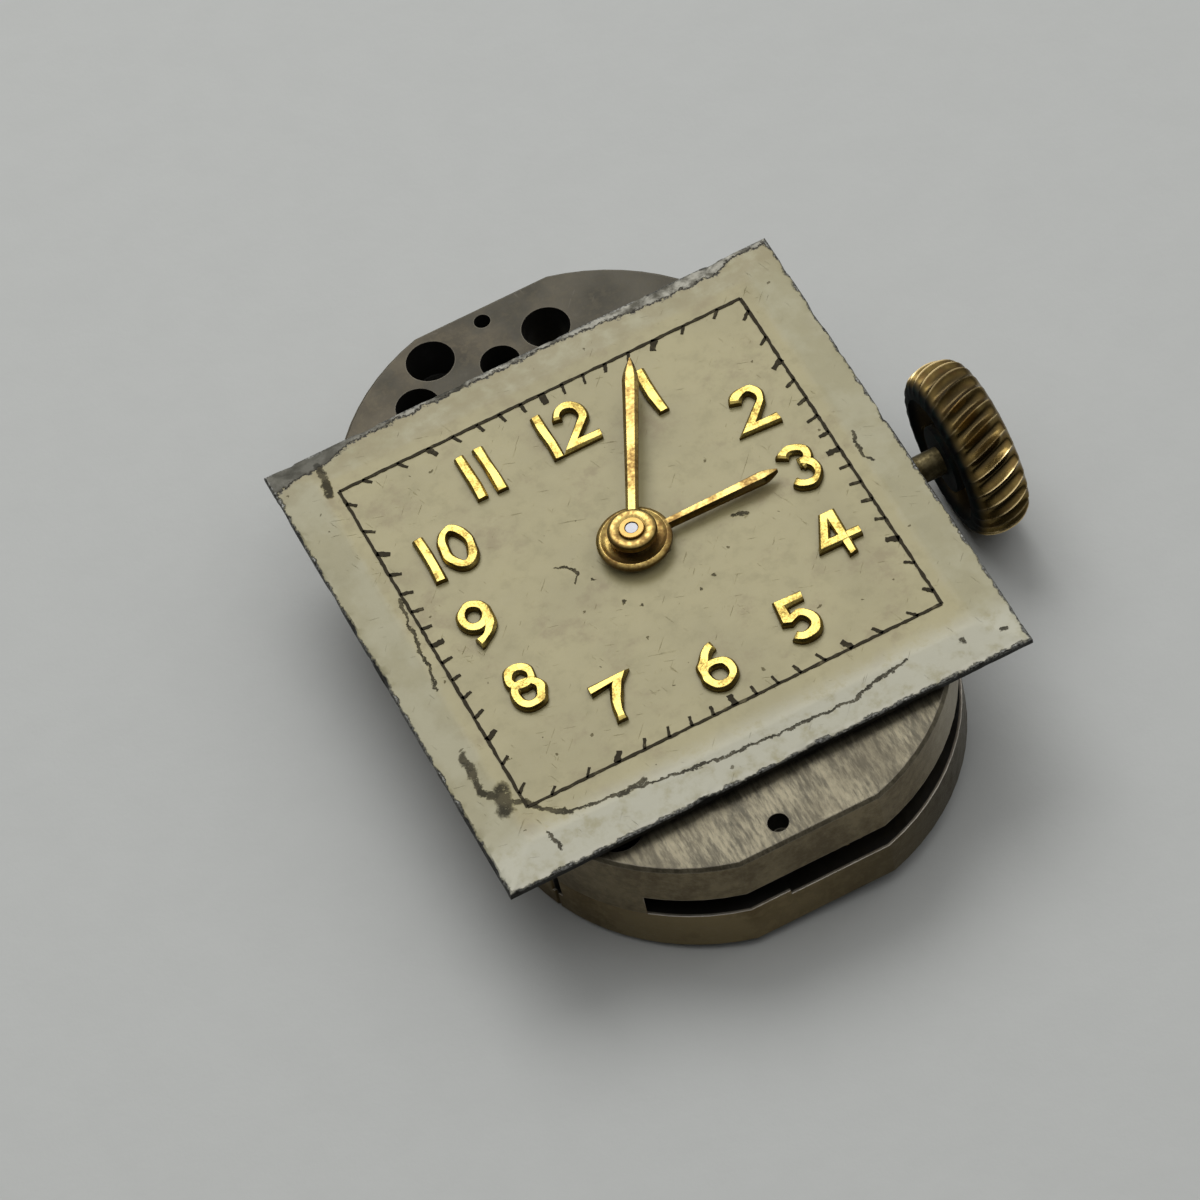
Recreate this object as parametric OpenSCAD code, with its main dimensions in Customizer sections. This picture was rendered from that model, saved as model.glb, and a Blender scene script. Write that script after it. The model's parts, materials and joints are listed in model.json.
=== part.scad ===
// Hand-wound wristwatch movement of a rectangular form calibre, with its dial, hands, stem and crown.
// The origin is on the hands' axis, in the plane of the back of the bridges. +Z points out of the dial,
// +Y to twelve and +X to three, where the crown is.

/* [Main plate and bridges] */
// Length of the plate between its two flat ends
plate_l = 16.54; // [16.3:0.02:16.8]
// Width of the plate
plate_w = 10.66; // [10.5:0.02:10.8]
// Radius of the rounded shoulders
shoulder_r = 5.13; // [5.05:0.01:5.2]
// Distance from the hands' axis to the centre of each shoulder along the plate
shoulder_y = 3.35; // [3.3:0.01:3.4]
// Distance from the long axis to the centre of each shoulder
shoulder_x = 0.2; // [0.15:0.01:0.25]
// Thickness of the main plate
plate_t = 1.77; // [1.7:0.01:1.9]
// Thickness of the bridges
bridge_t = 1.18; // [1.16:0.01:1.22]
// Depth of the dial-side recess that holds the motion work and the setting work
motion_recess = 0.42; // [0.4:0.01:0.45]
// Height of the open slot in the wall at the six end
slot_h = 0.64; // [0.55:0.01:0.68]
// Depth of the open slot
slot_depth = 0.5; // [0.3:0.05:0.6]
// Gap between two bridges
bridge_gap = 0.1; // [0.06:0.01:0.15]
// Radius of the two large holes beside the dial at the twelve end
end_hole_r = 0.56; // [0.5:0.02:0.6]
// Radius of the locating hole at the twelve end
pin_hole_top_r = 0.19; // [0.16:0.01:0.22]
// Radius of the locating hole at the six end
pin_hole_low_r = 0.235; // [0.2:0.005:0.26]
// Depth of the locating hole at the six end
pin_hole_low_depth = 0.55; // [0.4:0.05:0.6]
// Size of the broken edges round the dial side and the back
edge_break = 0.08; // [0.04:0.01:0.12]

/* [Dial] */
// Width of the dial
dial_w = 12.5; // [12.3:0.1:12.8]
// Height of the dial
dial_h = 12.9; // [12.7:0.02:13.1]
// Distance of the dial's centre below the hands' axis
dial_drop = 0.18; // [0.1:0.02:0.3]
// Thickness of the dial
dial_t = 0.5; // [0.45:0.01:0.55]
// Width of the sloping border
dial_border = 0.95; // [0.8:0.05:1.1]
// Thickness of the dial at its outer edge
dial_edge_t = 0.2; // [0.15:0.01:0.25]
// Height of the relief under the border
dial_relief = 0.14; // [0.1:0.01:0.16]
// Radius of the dial's centre hole
dial_hole_r = 0.55; // [0.5:0.01:0.6]
// Height of the hour numerals
numeral_h = 1.32; // [1.2:0.02:1.4]
// Width of a single figure
numeral_w = 0.86; // [0.8:0.02:0.9]
// Width of a numeral's stroke
numeral_stroke = 0.27; // [0.22:0.01:0.29]
// Thickness of the numerals
numeral_t = 0.17; // [0.12:0.01:0.2]

/* [Hands] */
// Length of the minute hand from its axis
minute_hand_l = 4.75; // [4.2:0.05:4.9]
// Greatest width of the minute hand
minute_hand_w = 0.36; // [0.28:0.01:0.4]
// Radius of the minute hand's boss
minute_boss_r = 0.55; // [0.5:0.01:0.6]
// Where the minute hand points, in minutes past the hour
minute_shown = 4.2; // [0:0.2:30]
// Length of the hour hand from its axis
hour_hand_l = 3.5; // [3.2:0.05:3.8]
// Greatest width of the hour hand
hour_hand_w = 0.4; // [0.3:0.01:0.45]
// Radius of the hour hand's boss
hour_boss_r = 0.84; // [0.75:0.01:0.9]
// Where the hour hand points, in hours
hour_shown = 3.0; // [1:0.1:11]
// Thickness of the hands
hand_t = 0.12; // [0.1:0.01:0.14]

/* [Gear train] */
// Teeth of the barrel
barrel_teeth = 74; // [72:1:76]
// Module of the barrel's teeth
barrel_mod = 0.1; // [0.099:0.001:0.101]
// Leaves of the centre pinion
centre_leaves = 10; // [10:1:10]
// Teeth of the centre wheel
centre_teeth = 64; // [64:1:64]
// Module of the centre wheel
centre_mod = 0.072; // [0.071:0.0005:0.0725]
// Teeth of the third wheel
third_teeth = 60; // [60:1:60]
// Module of the third wheel
third_mod = 0.066; // [0.065:0.0005:0.0665]
// Teeth of the fourth wheel
fourth_teeth = 60; // [60:1:60]
// Module of the fourth wheel
fourth_mod = 0.06; // [0.0595:0.0005:0.0605]
// Leaves of the third and the fourth pinion
train_leaves = 8; // [8:1:8]
// Leaves of the escape pinion
escape_leaves = 6; // [6:1:6]
// Teeth of the escape wheel
escape_teeth = 15; // [15:1:15]
// Radius of the escape wheel
escape_r = 1.15; // [1.1:0.01:1.2]
// Distance from the escape wheel to the pallet arbor
pallet_gap = 1.29; // [1.25:0.01:1.33]
// Distance from the pallet arbor to the balance staff
lever_gap = 1.5; // [1.45:0.01:1.55]
// Outer radius of the balance rim
balance_r = 2.05; // [1.9:0.05:2.1]
// Width of the balance rim
rim_w = 0.26; // [0.2:0.01:0.3]
// Number of screws in the balance rim
rim_screws = 14; // [10:2:16]
// Turns of the hairspring
hairspring_turns = 10; // [8:1:11]
// Turns of the mainspring
mainspring_turns = 9; // [7:1:10]
// Radius of the arbors
arbor_r = 0.14; // [0.12:0.01:0.15]
// Radius of the pivots
pivot_r = 0.06; // [0.05:0.005:0.07]
// Outer radius of a pressed jewel
jewel_r = 0.27; // [0.25:0.01:0.29]
// Thickness of a jewel
jewel_t = 0.18; // [0.15:0.01:0.2]

/* [Winding and setting] */
// Radius of the crown
crown_r = 2.05; // [1.9:0.05:2.2]
// Thickness of the crown
crown_t = 1.35; // [1.2:0.05:1.5]
// Distance from the hands' axis to the middle of the crown
crown_x = 7.87; // [7.7:0.01:8.1]
// Number of flutes round the crown
crown_flutes = 30; // [24:1:34]
// Radius of one flute
flute_r = 0.17; // [0.15:0.01:0.18]
// Slant of the flutes in degrees
flute_slant = 14; // [0:1:18]
// Radius of the stem
stem_r = 0.33; // [0.3:0.01:0.34]
// Height of the stem's axis above the back of the bridges
stem_z = 1.38; // [1.37:0.01:1.4]
// Travel of the stem from winding to setting
stem_pull = 0.32; // [0.26:0.01:0.33]
// Teeth of the crown wheel
crown_wheel_teeth = 26; // [26:1:26]
// Teeth of the ratchet wheel
ratchet_teeth = 56; // [56:1:56]
// Module of the winding wheels
winding_mod = 0.11; // [0.109:0.0005:0.1105]
// Teeth of the winding pinion
winding_leaves = 15; // [15:1:15]
// Teeth of the cannon pinion
cannon_leaves = 12; // [12:1:12]
// Teeth of the minute wheel
minute_teeth = 36; // [36:1:36]
// Module of the cannon pinion and the minute wheel
setting_mod = 0.08; // [0.079:0.0005:0.081]
// Leaves of the minute pinion
minute_leaves = 10; // [10:1:10]
// Teeth of the hour wheel
hour_teeth = 40; // [40:1:40]
// Teeth of the setting wheel
setting_teeth = 16; // [16:1:16]

/* [Screws and fits] */
// Radius of a bridge screw's head
screw_head_r = 0.42; // [0.38:0.01:0.44]
// Height of a bridge screw's head
screw_head_h = 0.25; // [0.2:0.01:0.3]
// Radius of a bridge screw's shank
screw_shank_r = 0.22; // [0.18:0.01:0.24]
// Width of a screw's slot
slot_w = 0.1; // [0.08:0.01:0.12]
// Radial clearance of a turning fit
run_gap = 0.012; // [0.01:0.002:0.02]
// Clearance between two pieces that pass each other
pass_gap = 0.06; // [0.05:0.005:0.07]
// Radial clearance between a screw and its threaded hole
thread_gap = 0.005; // [0.003:0.001:0.01]

/* [Hidden] */
$fn = 48;
eps = 0.01;

// Colours of the metals
steel = "#a9a9ab";
blued = "#3b4558";
brass = "#b99a4e";
gilt = "#c9a243";
silvered = "#b5a28b";
ruby = "#b5233f";

// Heights above the back
plate_z = bridge_t;
face_z = bridge_t + plate_t;
motion_z = face_z - motion_recess;
dial_z = face_z + dial_t;

function polar(r, a) = [r * cos(a), r * sin(a)];
function unit(v) = v / norm(v);
function heading(v) = atan2(v[1], v[0]);

// Places of the arbors, each from the centre distance of its mesh
barrel_at = polar((barrel_teeth + centre_leaves) * barrel_mod / 2, -77.6);
third_at = polar((centre_teeth + train_leaves) * centre_mod / 2, 155);
fourth_at = third_at + polar((third_teeth + train_leaves) * third_mod / 2, 80);
escape_at = fourth_at + polar((fourth_teeth + escape_leaves) * fourth_mod / 2, -18);
lever_dir = 82.2;
pallet_at = escape_at + polar(pallet_gap, lever_dir);
balance_at = pallet_at + polar(lever_gap, lever_dir);
minute_at = polar((cannon_leaves + minute_teeth) * setting_mod / 2, 68);
hour_mod = 2 * norm(minute_at) / (minute_leaves + hour_teeth);
setting_reach = (minute_teeth + setting_teeth) * setting_mod / 2;
setting_at = [minute_at[0] + sqrt(pow(setting_reach, 2) - pow(minute_at[1], 2)), 0];
ratchet_pitch_r = ratchet_teeth * winding_mod / 2;
crown_wheel_r = crown_wheel_teeth * winding_mod / 2;
crown_wheel_at = [barrel_at[0] + sqrt(pow(ratchet_pitch_r + crown_wheel_r, 2) - pow(barrel_at[1], 2)), 0];

// Levels of the train, [bottom, top]
centre_wheel_lv = [0.85, 0.97];
third_pinion_lv = [0.80, 1.02];
barrel_teeth_lv = [1.20, 1.60];
centre_pinion_lv = [1.14, 1.64];
third_wheel_lv = [1.70, 1.80];
fourth_pinion_lv = [1.64, 1.86];
fourth_wheel_lv = [1.92, 2.02];
escape_pinion_lv = [1.87, 2.07];
escape_wheel_lv = [1.50, 1.60];
drum_lv = [1.10, 2.20];
drum_r = 3.4;
drum_wall = 0.16;
cover_t = 0.16;
barrel_tip_r = (barrel_teeth + 2) * barrel_mod / 2;
barrel_pocket_r = barrel_tip_r + 0.1;
train_floor_z = 2.14;
balance_lv = [0.72, 1.0];
balance_screw_l = 0.24;
balance_hub_r = 0.34;
balance_seat_r = 0.15;
balance_room_r = balance_r + balance_screw_l + 0.07;
cock_lv = [0.16, 0.46];
spring_lv = [0.52, 0.62];
recess_z = 0.56;
wheel_face_z = 0.17;
ratchet_t = 0.35;
web_z = 0.72;
bridge_jewel_z = 0.3;
pivot_start_z = bridge_jewel_z + 0.02;
third_floor_z = 1.88;
lever_floor_z = 1.72;
balance_floor_z = 1.38;
pallet_cock_lv = [1.1, 1.38];
pallet_cock_w = 0.74;
pallet_jewel_z = 1.16;
roller_lv = [1.3, 1.4];
index_lv = [0.04, 0.14];

// Radii of the bores and seats that two pieces share
centre_bore_r = 0.2;
centre_pivot_r = 1.8 * pivot_r;
barrel_bore_r = 0.45;
barrel_collar_r = 0.5;
barrel_square = 0.66;
hook_r = 0.85;
minute_post_r = 0.12;
setting_post_r = 0.2;
yoke_post_r = 0.18;
small_thread_r = 0.17;
core_r = 0.6;
core_stud_r = 0.15;
core_thread_r = 0.1;
click_thread_r = 0.13;
pallet_thread_r = 0.16;
cap_jewel_r = 0.34;
staff_foot_r = 0.12;
impulse_r = 0.062;
impulse_reach = 0.42;

// Motion work levels
cannon_lv = [motion_z + 0.03, motion_z + 0.24];
minute_wheel_lv = [motion_z + 0.07, motion_z + 0.21];
minute_pinion_lv = [motion_z + 0.21, motion_z + 0.39];
hour_wheel_lv = [motion_z + 0.26, motion_z + 0.38];
lever_lv = [motion_z + 0.03, motion_z + 0.17];
cover_lv = [motion_z + 0.19, motion_z + 0.31];
setting_wheel_lv = [1.92, motion_z + 0.19];
arbor_top_z = dial_z + 0.7;
cannon_top_z = dial_z + 0.72;
cannon_r = 0.27;
hour_pipe_r = 0.42;
hour_hand_z = dial_z + 0.2;
minute_hand_z = dial_z + 0.5;
hour_pipe_top_z = hour_hand_z + hand_t + 0.06;

// Clutch and winding pinion on the stem, measured along X
pinion_x = [crown_wheel_at[0] + crown_wheel_r - 0.22, crown_wheel_at[0] + crown_wheel_r + 0.26];
pinion_r = winding_leaves * winding_mod / 2;
clutch_x = [2.87, pinion_x[0] - 0.08];
clutch_r = 0.62;
clutch_groove_x = 3.3;
clutch_groove_w = 0.24;
clutch_groove_r = 0.42;
square_side = 0.42;
square_x = 2.45;
stem_in_crown = 0.95;
pilot_r = 0.15;
pilot_x = 1.65;
lever_groove_x = 4.66;
lever_groove_w = 0.26;
lever_groove_r = 0.2;
lever_pin_r = 0.09;
window_x = [2.38, pinion_x[1] + 0.05];
window_w = 1.9;

// Screws and posts
barrel_bridge_screws_at = [[-3.5, -6.1], [4.75, -2.3], [4.3, 2.2]];
train_bridge_screws_at = [[-4.4, -3.3], [-4.35, 4.3]];
cock_screw_at = [-1.63, 7.46];
cock_hole_at = [-2.41, 6.45];
end_hole_at = [1.01, 6.92];
half_hole_at = [-0.29, 6.59];
pin_hole_top_at = [-0.15, 7.85];
pin_hole_low_at = [-0.48, -7.74];
pallet_screw_at = [2.35, 3.3];
dial_feet_at = [[0.73 - plate_w / 2, -1.9], [plate_w / 2 - 1.08, 3.9]];
dial_foot_r = 0.25;
dial_foot_z = 1.98;
foot_screw_z = 2.3;
foot_screw_r = 0.16;
foot_head_r = 0.27;
foot_head_t = 0.12;
foot_head_in = 0.06;
steady_pins_at = [[-2.75, -6.7], [4.8, 3.05], [-4.55, -4.3], [-4.75, 0.6], [-3.2, 5.95]];
steady_pin_r = 0.14;
steady_pin_in = 0.4;
yoke_at = [3.0, -2.6];
setting_lever_at = [4.3, -1.95];
cover_screw_at = [4.35, 1.35];
yoke_spring_at = [1.55, -3.2];
click_at = barrel_at + polar(3.75, 214);
click_nose_at = barrel_at + polar(ratchet_pitch_r + 0.04, 205);
click_spring_at = barrel_at + polar(4.15, 240);
stud_at = balance_at + polar(1.36, 18);
stud_r = 0.1;

// Flat outline of the movement, drawn in by an inset
module outline_2d(inset = 0) {
    intersection() {
        union() {
            for (sx = [-1, 1], sy = [-1, 1])
                translate([sx * shoulder_x, sy * shoulder_y]) circle(r = shoulder_r - inset, $fn = 96);
            square([plate_w - 2 * inset, 2 * shoulder_y], center = true);
        }
        square([plate_w - 2 * inset, plate_l - 2 * inset], center = true);
    }
}

// Solid of the movement's outline over its whole height, with broken edges at the back and the dial side
module broken_disc(r) {
    translate([0, 0, edge_break]) cylinder(r = r, h = face_z - 2 * edge_break, $fn = 96);
    cylinder(r1 = r - edge_break, r2 = r, h = edge_break, $fn = 96);
    translate([0, 0, face_z - edge_break]) cylinder(r1 = r, r2 = r - edge_break, h = edge_break, $fn = 96);
}
module broken_bar(w, l) {
    side = w / 2;
    rotate([90, 0, 0]) linear_extrude(l, center = true)
        polygon([[edge_break - side, 0], [side - edge_break, 0], [side, edge_break],
            [side, face_z - edge_break], [side - edge_break, face_z], [edge_break - side, face_z],
            [-side, face_z - edge_break], [-side, edge_break]]);
}
module movement_blank() {
    intersection() {
        union() {
            for (sx = [-1, 1], sy = [-1, 1])
                translate([sx * shoulder_x, sy * shoulder_y, 0]) broken_disc(shoulder_r);
            translate([-plate_w / 2, -shoulder_y, 0]) cube([plate_w, 2 * shoulder_y, face_z]);
        }
        broken_bar(plate_w, 2 * plate_l);
        rotate(90) broken_bar(plate_l, 2 * plate_w);
    }
}

// Round piece or hole standing at a point between two heights
module post(at, r, z0, z1) translate([at[0], at[1], z0]) cylinder(r = r, h = z1 - z0);

// Round piece along X
module shaft_x(r, x0, x1) translate([x0, 0, stem_z]) rotate([0, 90, 0]) cylinder(r = r, h = x1 - x0);

// Flat bar with round ends between two points
module link_2d(a, b, w) {
    translate(a) circle(d = w);
    translate(b) circle(d = w);
    translate(a) rotate(heading(b - a)) translate([0, -w / 2]) square([norm(b - a), w]);
}

// Extrusion between two heights
module slab(z0, z1) translate([0, 0, z0]) linear_extrude(z1 - z0) children();

// Points along an ellipse's arc
function arc(c, rx, ry, a0, a1, n = 14) =
    [for (i = [0 : n]) let (a = a0 + (a1 - a0) * i / n) c + [rx * cos(a), ry * sin(a)]];

// Outline of a strip of even width along a line of points
function across(p, i) =
    let (d = unit(p[min(i + 1, len(p) - 1)] - p[max(i - 1, 0)])) [-d[1], d[0]];
function ribbon(p, w) = concat(
    [for (i = [0 : len(p) - 1]) p[i] + across(p, i) * w / 2],
    [for (i = [len(p) - 1 : -1 : 0]) p[i] - across(p, i) * w / 2]);

// Points of a flat spiral from an inner to an outer radius
function spiral(r0, r1, turns, a0, steps = 22) =
    [for (i = [0 : turns * steps]) polar(r0 + (r1 - r0) * i / (turns * steps), a0 + 360 * i / steps)];

// Turn of a wheel so that it meshes with a wheel of n1 teeth turned by p1, lying the way dir from it
function mesh_turn(p1, n1, dir, n2) = dir + 180 - (0.5 - (dir - p1) * n1 / 360) * 360 / n2;

centre_turn = 0;
barrel_turn = mesh_turn(centre_turn, centre_leaves, heading(barrel_at), barrel_teeth);
third_turn = mesh_turn(0, centre_teeth, heading(third_at), train_leaves);
fourth_turn = mesh_turn(0, third_teeth, heading(fourth_at - third_at), train_leaves);
escape_turn = mesh_turn(0, fourth_teeth, heading(escape_at - fourth_at), escape_leaves);
minute_turn = mesh_turn(0, cannon_leaves, heading(minute_at), minute_teeth);
hour_turn = mesh_turn(0, minute_leaves, heading(-minute_at), hour_teeth);
setting_turn = mesh_turn(minute_turn, minute_teeth, heading(setting_at - minute_at), setting_teeth);
ratchet_turn = mesh_turn(0, crown_wheel_teeth, heading(barrel_at - crown_wheel_at), ratchet_teeth);

// Wheel outline with straight flanked teeth
module toothed_2d(teeth, mod, turn = 0) {
    pitch_r = teeth * mod / 2;
    root_r = pitch_r - 1.15 * mod;
    tip_r = pitch_r + 0.9 * mod;
    step = 360 / teeth;
    rotate(turn) polygon([for (i = [0 : teeth - 1])
        for (p = [[-0.33, root_r], [-0.13, tip_r], [0.13, tip_r], [0.33, root_r]])
            polar(p[1], (i + p[0]) * step)]);
}

// Spoked wheel: toothed rim, hub and arms between them
module spoked_2d(teeth, mod, turn, arms, hub_r) {
    rim_r = teeth * mod / 2 - 3.4 * mod;
    difference() {
        toothed_2d(teeth, mod, turn);
        circle(r = rim_r);
    }
    circle(r = hub_r);
    for (i = [0 : arms - 1])
        rotate(i * 360 / arms) translate([0, -0.1]) square([rim_r + mod, 0.2]);
}

// Slotted screw with its head at the back, z is the outer face of the head
module screw_up(at, z, head_r, head_h, shank_r, tip_z) {
    difference() {
        union() {
            post(at, head_r, z, z + head_h);
            post(at, shank_r, z + head_h - eps, tip_z);
        }
        translate([at[0], at[1], z]) cube([3 * head_r, slot_w, head_h], center = true);
    }
}

// Slotted screw with its head on the dial side, z is the outer face of the head
module screw_down(at, z, head_r, head_h, shank_r, tip_z) {
    difference() {
        union() {
            post(at, head_r, z - head_h, z);
            post(at, shank_r, tip_z, z - head_h + eps);
        }
        translate([at[0], at[1], z]) cube([3 * head_r, slot_w, head_h], center = true);
    }
}

// Slot along the wall at the six end, as seen from the side
slot_top_y = -5;
slot_start_x = -3.6;
slot_step_x = -0.7;
slot_below = 0.14;
module end_slot(z0, z1, x0) {
    difference() {
        translate([x0, -plate_l, z0]) cube([plate_l, plate_l + slot_top_y, z1 - z0]);
        slab(z0 - eps, z1 + eps) outline_2d(slot_depth);
    }
}

// Lines along which the bridges part, and the notch in the wall where the line at nine comes out
low_split_y = -5.3;
cock_split_y = 4.75;
cock_foot_x = -0.75;
crown_side_x = 1.25;
wheel_side_x = barrel_at[0] + 1;
barrel_island_r = 3.55;
crown_island_r = 1.9;
centre_island_r = 0.62;
cock_clear_r = 3.4;
notch_w = 0.28;
notch_depth = 0.7;
notch_z = [0.58, 1.3];
module side_notch() translate([-plate_w / 2 - eps, low_split_y - 0.12, notch_z[0]])
    cube([notch_depth, notch_w, notch_z[1] - notch_z[0]]);

// Area of the barrel bridge
module barrel_bridge_2d() {
    difference() {
        union() {
            translate(barrel_at) circle(r = barrel_island_r, $fn = 96);
            translate(crown_wheel_at) circle(r = crown_island_r, $fn = 96);
            translate([-plate_w, -plate_l]) square([2 * plate_w, plate_l + low_split_y]);
            translate([wheel_side_x, low_split_y - 0.2]) square([plate_w, plate_l]);
        }
        translate(balance_at) circle(r = cock_clear_r, $fn = 96);
        circle(r = centre_island_r);
        translate([-plate_w, shoulder_y + 0.6]) square([2 * plate_w, plate_l]);
    }
}

// Area of the train bridge
module train_bridge_2d() {
    difference() {
        translate([-plate_w, low_split_y + bridge_gap])
            square([plate_w + crown_side_x, cock_split_y - low_split_y]);
        translate(barrel_at) circle(r = barrel_island_r + bridge_gap, $fn = 96);
        difference() {
            translate(crown_wheel_at) circle(r = crown_island_r + bridge_gap, $fn = 96);
            circle(r = centre_island_r - bridge_gap);
        }
        translate(balance_at) circle(r = balance_room_r, $fn = 96);
        translate([wheel_side_x - bridge_gap, low_split_y - 0.2]) square([plate_w, plate_l]);
        translate([-plate_w, cock_split_y]) square([2 * plate_w, plate_l]);
    }
}

// Area of the balance cock's foot
module cock_2d() {
    difference() {
        translate([-plate_w, cock_split_y + bridge_gap]) square([plate_w + cock_foot_x, plate_l]);
        translate(balance_at) circle(r = balance_room_r, $fn = 96);
    }
}

// Room round the third and the fourth wheel in the plate
wheel_room = 0.16;

// Floors of the counterbored holes that show beside the dial
cock_hole_z = 1.75;
open_hole_z = 1.6;
low_hole_z = 2.0;
setting_floor_z = setting_wheel_lv[0] - 0.05;
thread_depth = 0.3;
spring_thread_depth = 0.2;
module main_plate() color(silvered) {
    difference() {
        intersection() {
            movement_blank();
            translate([-plate_l, -plate_l, plate_z]) cube([2 * plate_l, 2 * plate_l, 2 * plate_t]);
        }
        // Pockets of the barrel, the train and the balance, from the back
        post(barrel_at, barrel_pocket_r, plate_z - eps, drum_lv[1] + 0.08);
        post([0, 0], (centre_leaves / 2 + 1) * barrel_mod + 0.15, plate_z - eps, centre_pinion_lv[1] + 0.12);
        post(third_at, third_teeth * third_mod / 2 + wheel_room, plate_z - eps, third_floor_z);
        post(fourth_at, fourth_teeth * fourth_mod / 2 + wheel_room, plate_z - eps, train_floor_z);
        post(escape_at, escape_r + 0.1, plate_z - eps, lever_floor_z);
        post(escape_at, jewel_r + 0.05, plate_z - eps, train_floor_z);
        slab(plate_z - eps, lever_floor_z) link_2d(pallet_at, balance_at, 1.3);
        post(pallet_at, norm(arm_end) + 0.2, plate_z - eps, lever_floor_z);
        post(balance_at, balance_room_r, plate_z - eps, balance_floor_z);
        slab(plate_z - eps, balance_floor_z) link_2d(pallet_screw_at, pallet_at, pallet_cock_w + 0.26);
        // Window for the clutch and the winding pinion, the stem's bore and its pilot
        translate([window_x[0], -window_w / 2, plate_z - eps])
            cube([window_x[1] - window_x[0], window_w, plate_t]);
        shaft_x(stem_r + run_gap, window_x[1] - eps, plate_w);
        shaft_x(pilot_r + run_gap, pilot_x, window_x[0] + eps);
        slab(stem_z, motion_z + eps)
            link_2d([lever_groove_x, -0.05], [lever_groove_x + stem_pull, -0.05], 2 * lever_pin_r + 0.2);
        // Dial-side recess for the motion work and the setting work
        slab(motion_z, face_z + eps) {
            circle(r = 1.75);
            translate(minute_at) circle(r = 1.65);
            translate(setting_at) circle(r = 0.85);
            link_2d(setting_at, [4.6, 0], 1.9);
            link_2d(yoke_at, [3.3, 0], 1.6);
            link_2d(setting_lever_at, [4.45, 0], 1.2);
            link_2d(setting_lever_at, [4.0, -2.1], 1.5);
            link_2d([4.4, 0], [lever_groove_x + stem_pull, 0], 0.44);
            link_2d(yoke_at, yoke_spring_at, 1.3);
            link_2d(cover_screw_at, [4.3, 0], 1.2);
        }
        post(setting_at, setting_teeth * setting_mod / 2 + wheel_room, setting_floor_z, face_z);
        // Bores of the arbors and the seats of the jewels
        post([0, 0], centre_bore_r, centre_pinion_lv[1], face_z);
        post(barrel_at, barrel_bore_r, drum_lv[1], face_z + eps);
        for (p = [third_at, fourth_at, escape_at, pallet_at, balance_at])
            post(p, jewel_r, plate_z, jewel_z(p) + jewel_t);
        post(minute_at, minute_post_r, motion_z - thread_depth, motion_z + eps);
        // Threaded holes
        for (p = concat(barrel_bridge_screws_at, train_bridge_screws_at))
            post(p, screw_shank_r, plate_z - eps, low_hole_z + 0.25);
        post(barrel_bridge_screws_at[0], end_hole_r, low_hole_z, face_z + eps);
        post(cock_screw_at, screw_shank_r, plate_z - eps, cock_hole_z + eps);
        post(cock_screw_at, end_hole_r, cock_hole_z, face_z + eps);
        post(cock_hole_at, end_hole_r - 0.05, open_hole_z, face_z + eps);
        post(end_hole_at, end_hole_r, plate_z, face_z + eps);
        post(half_hole_at, end_hole_r - 0.1, plate_z, face_z + eps);
        post(pallet_screw_at, pallet_thread_r, plate_z, 2.1);
        for (p = [setting_lever_at, cover_screw_at]) post(p, small_thread_r, motion_z - thread_depth, face_z);
        post(yoke_spring_at, small_thread_r, motion_z - spring_thread_depth, face_z);
        post(pin_hole_top_at, pin_hole_top_r, plate_z - eps, face_z + eps);
        post(pin_hole_low_at, pin_hole_low_r, face_z - pin_hole_low_depth, face_z + eps);
        for (p = steady_pins_at) post(p, steady_pin_r, plate_z - eps, plate_z + steady_pin_in + 0.05);
        // Holes of the dial feet and of the screws that hold them
        for (p = dial_feet_at) {
            post(p, dial_foot_r + 0.02, dial_foot_z - 0.08, face_z + eps);
            side = sign(p[0]);
            translate([p[0], p[1], foot_screw_z]) rotate([0, side * 90, 0])
                cylinder(r = foot_screw_r + 0.01, h = plate_w);
            translate([side * (foot_screw_x(p) - 0.2), p[1], foot_screw_z]) rotate([0, side * 90, 0])
                cylinder(r = foot_head_r + 0.02, h = plate_w);
        }
        end_slot(plate_z - eps, plate_z + slot_h, slot_start_x);
        side_notch();
    }
    // Posts that the yoke and the setting wheel turn on
    post(setting_at, setting_post_r, setting_floor_z - eps, setting_wheel_lv[1]);
    post(yoke_at, yoke_post_r, motion_z - eps, lever_lv[1] + 0.02);
}

// Half width of the plate at a dial foot
function foot_screw_x(p) = min(plate_w / 2, abs(p[1]) < shoulder_y ? plate_w / 2
    : shoulder_x + sqrt(pow(shoulder_r, 2) - pow(abs(p[1]) - shoulder_y, 2)));

// Bottom of the plate jewel at each arbor
function jewel_z(p) = p == third_at ? third_floor_z
    : p == fourth_at || p == escape_at ? train_floor_z : lever_floor_z;

module ring_jewel(p, z0, hole_r) {
    difference() {
        post(p, jewel_r, z0, z0 + jewel_t);
        post(p, hole_r, z0 - eps, z0 + jewel_t + eps);
    }
}

module plate_jewels() color(ruby)
    for (p = [third_at, fourth_at, escape_at, pallet_at, balance_at])
        ring_jewel(p, jewel_z(p), pivot_r + run_gap);

module bridge_jewels() color(ruby) {
    for (p = [[0, 0], third_at, fourth_at, escape_at])
        ring_jewel(p, bridge_jewel_z, (p == [0, 0] ? centre_pivot_r : pivot_r) + run_gap);
    ring_jewel(pallet_at, pallet_jewel_z, pivot_r + run_gap);
}

// Solid between the back and the plate over a flat area, within the movement's outline
module bridge_blank(z0 = 0) intersection() {
    movement_blank();
    slab(z0, bridge_t) children();
}

// Screw holes of the bridges; each head lies a little below the back
head_sink = 0.03;
screw_play = 0.03;
module bridge_screw_hole(p, head_r = screw_head_r) {
    post(p, screw_shank_r + screw_play, -eps, bridge_t + eps);
    post(p, head_r + screw_play, -eps, head_sink + screw_head_h);
}
module steady_pin_hole(p) post(p, steady_pin_r, bridge_t - steady_pin_in, bridge_t + eps);

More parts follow.
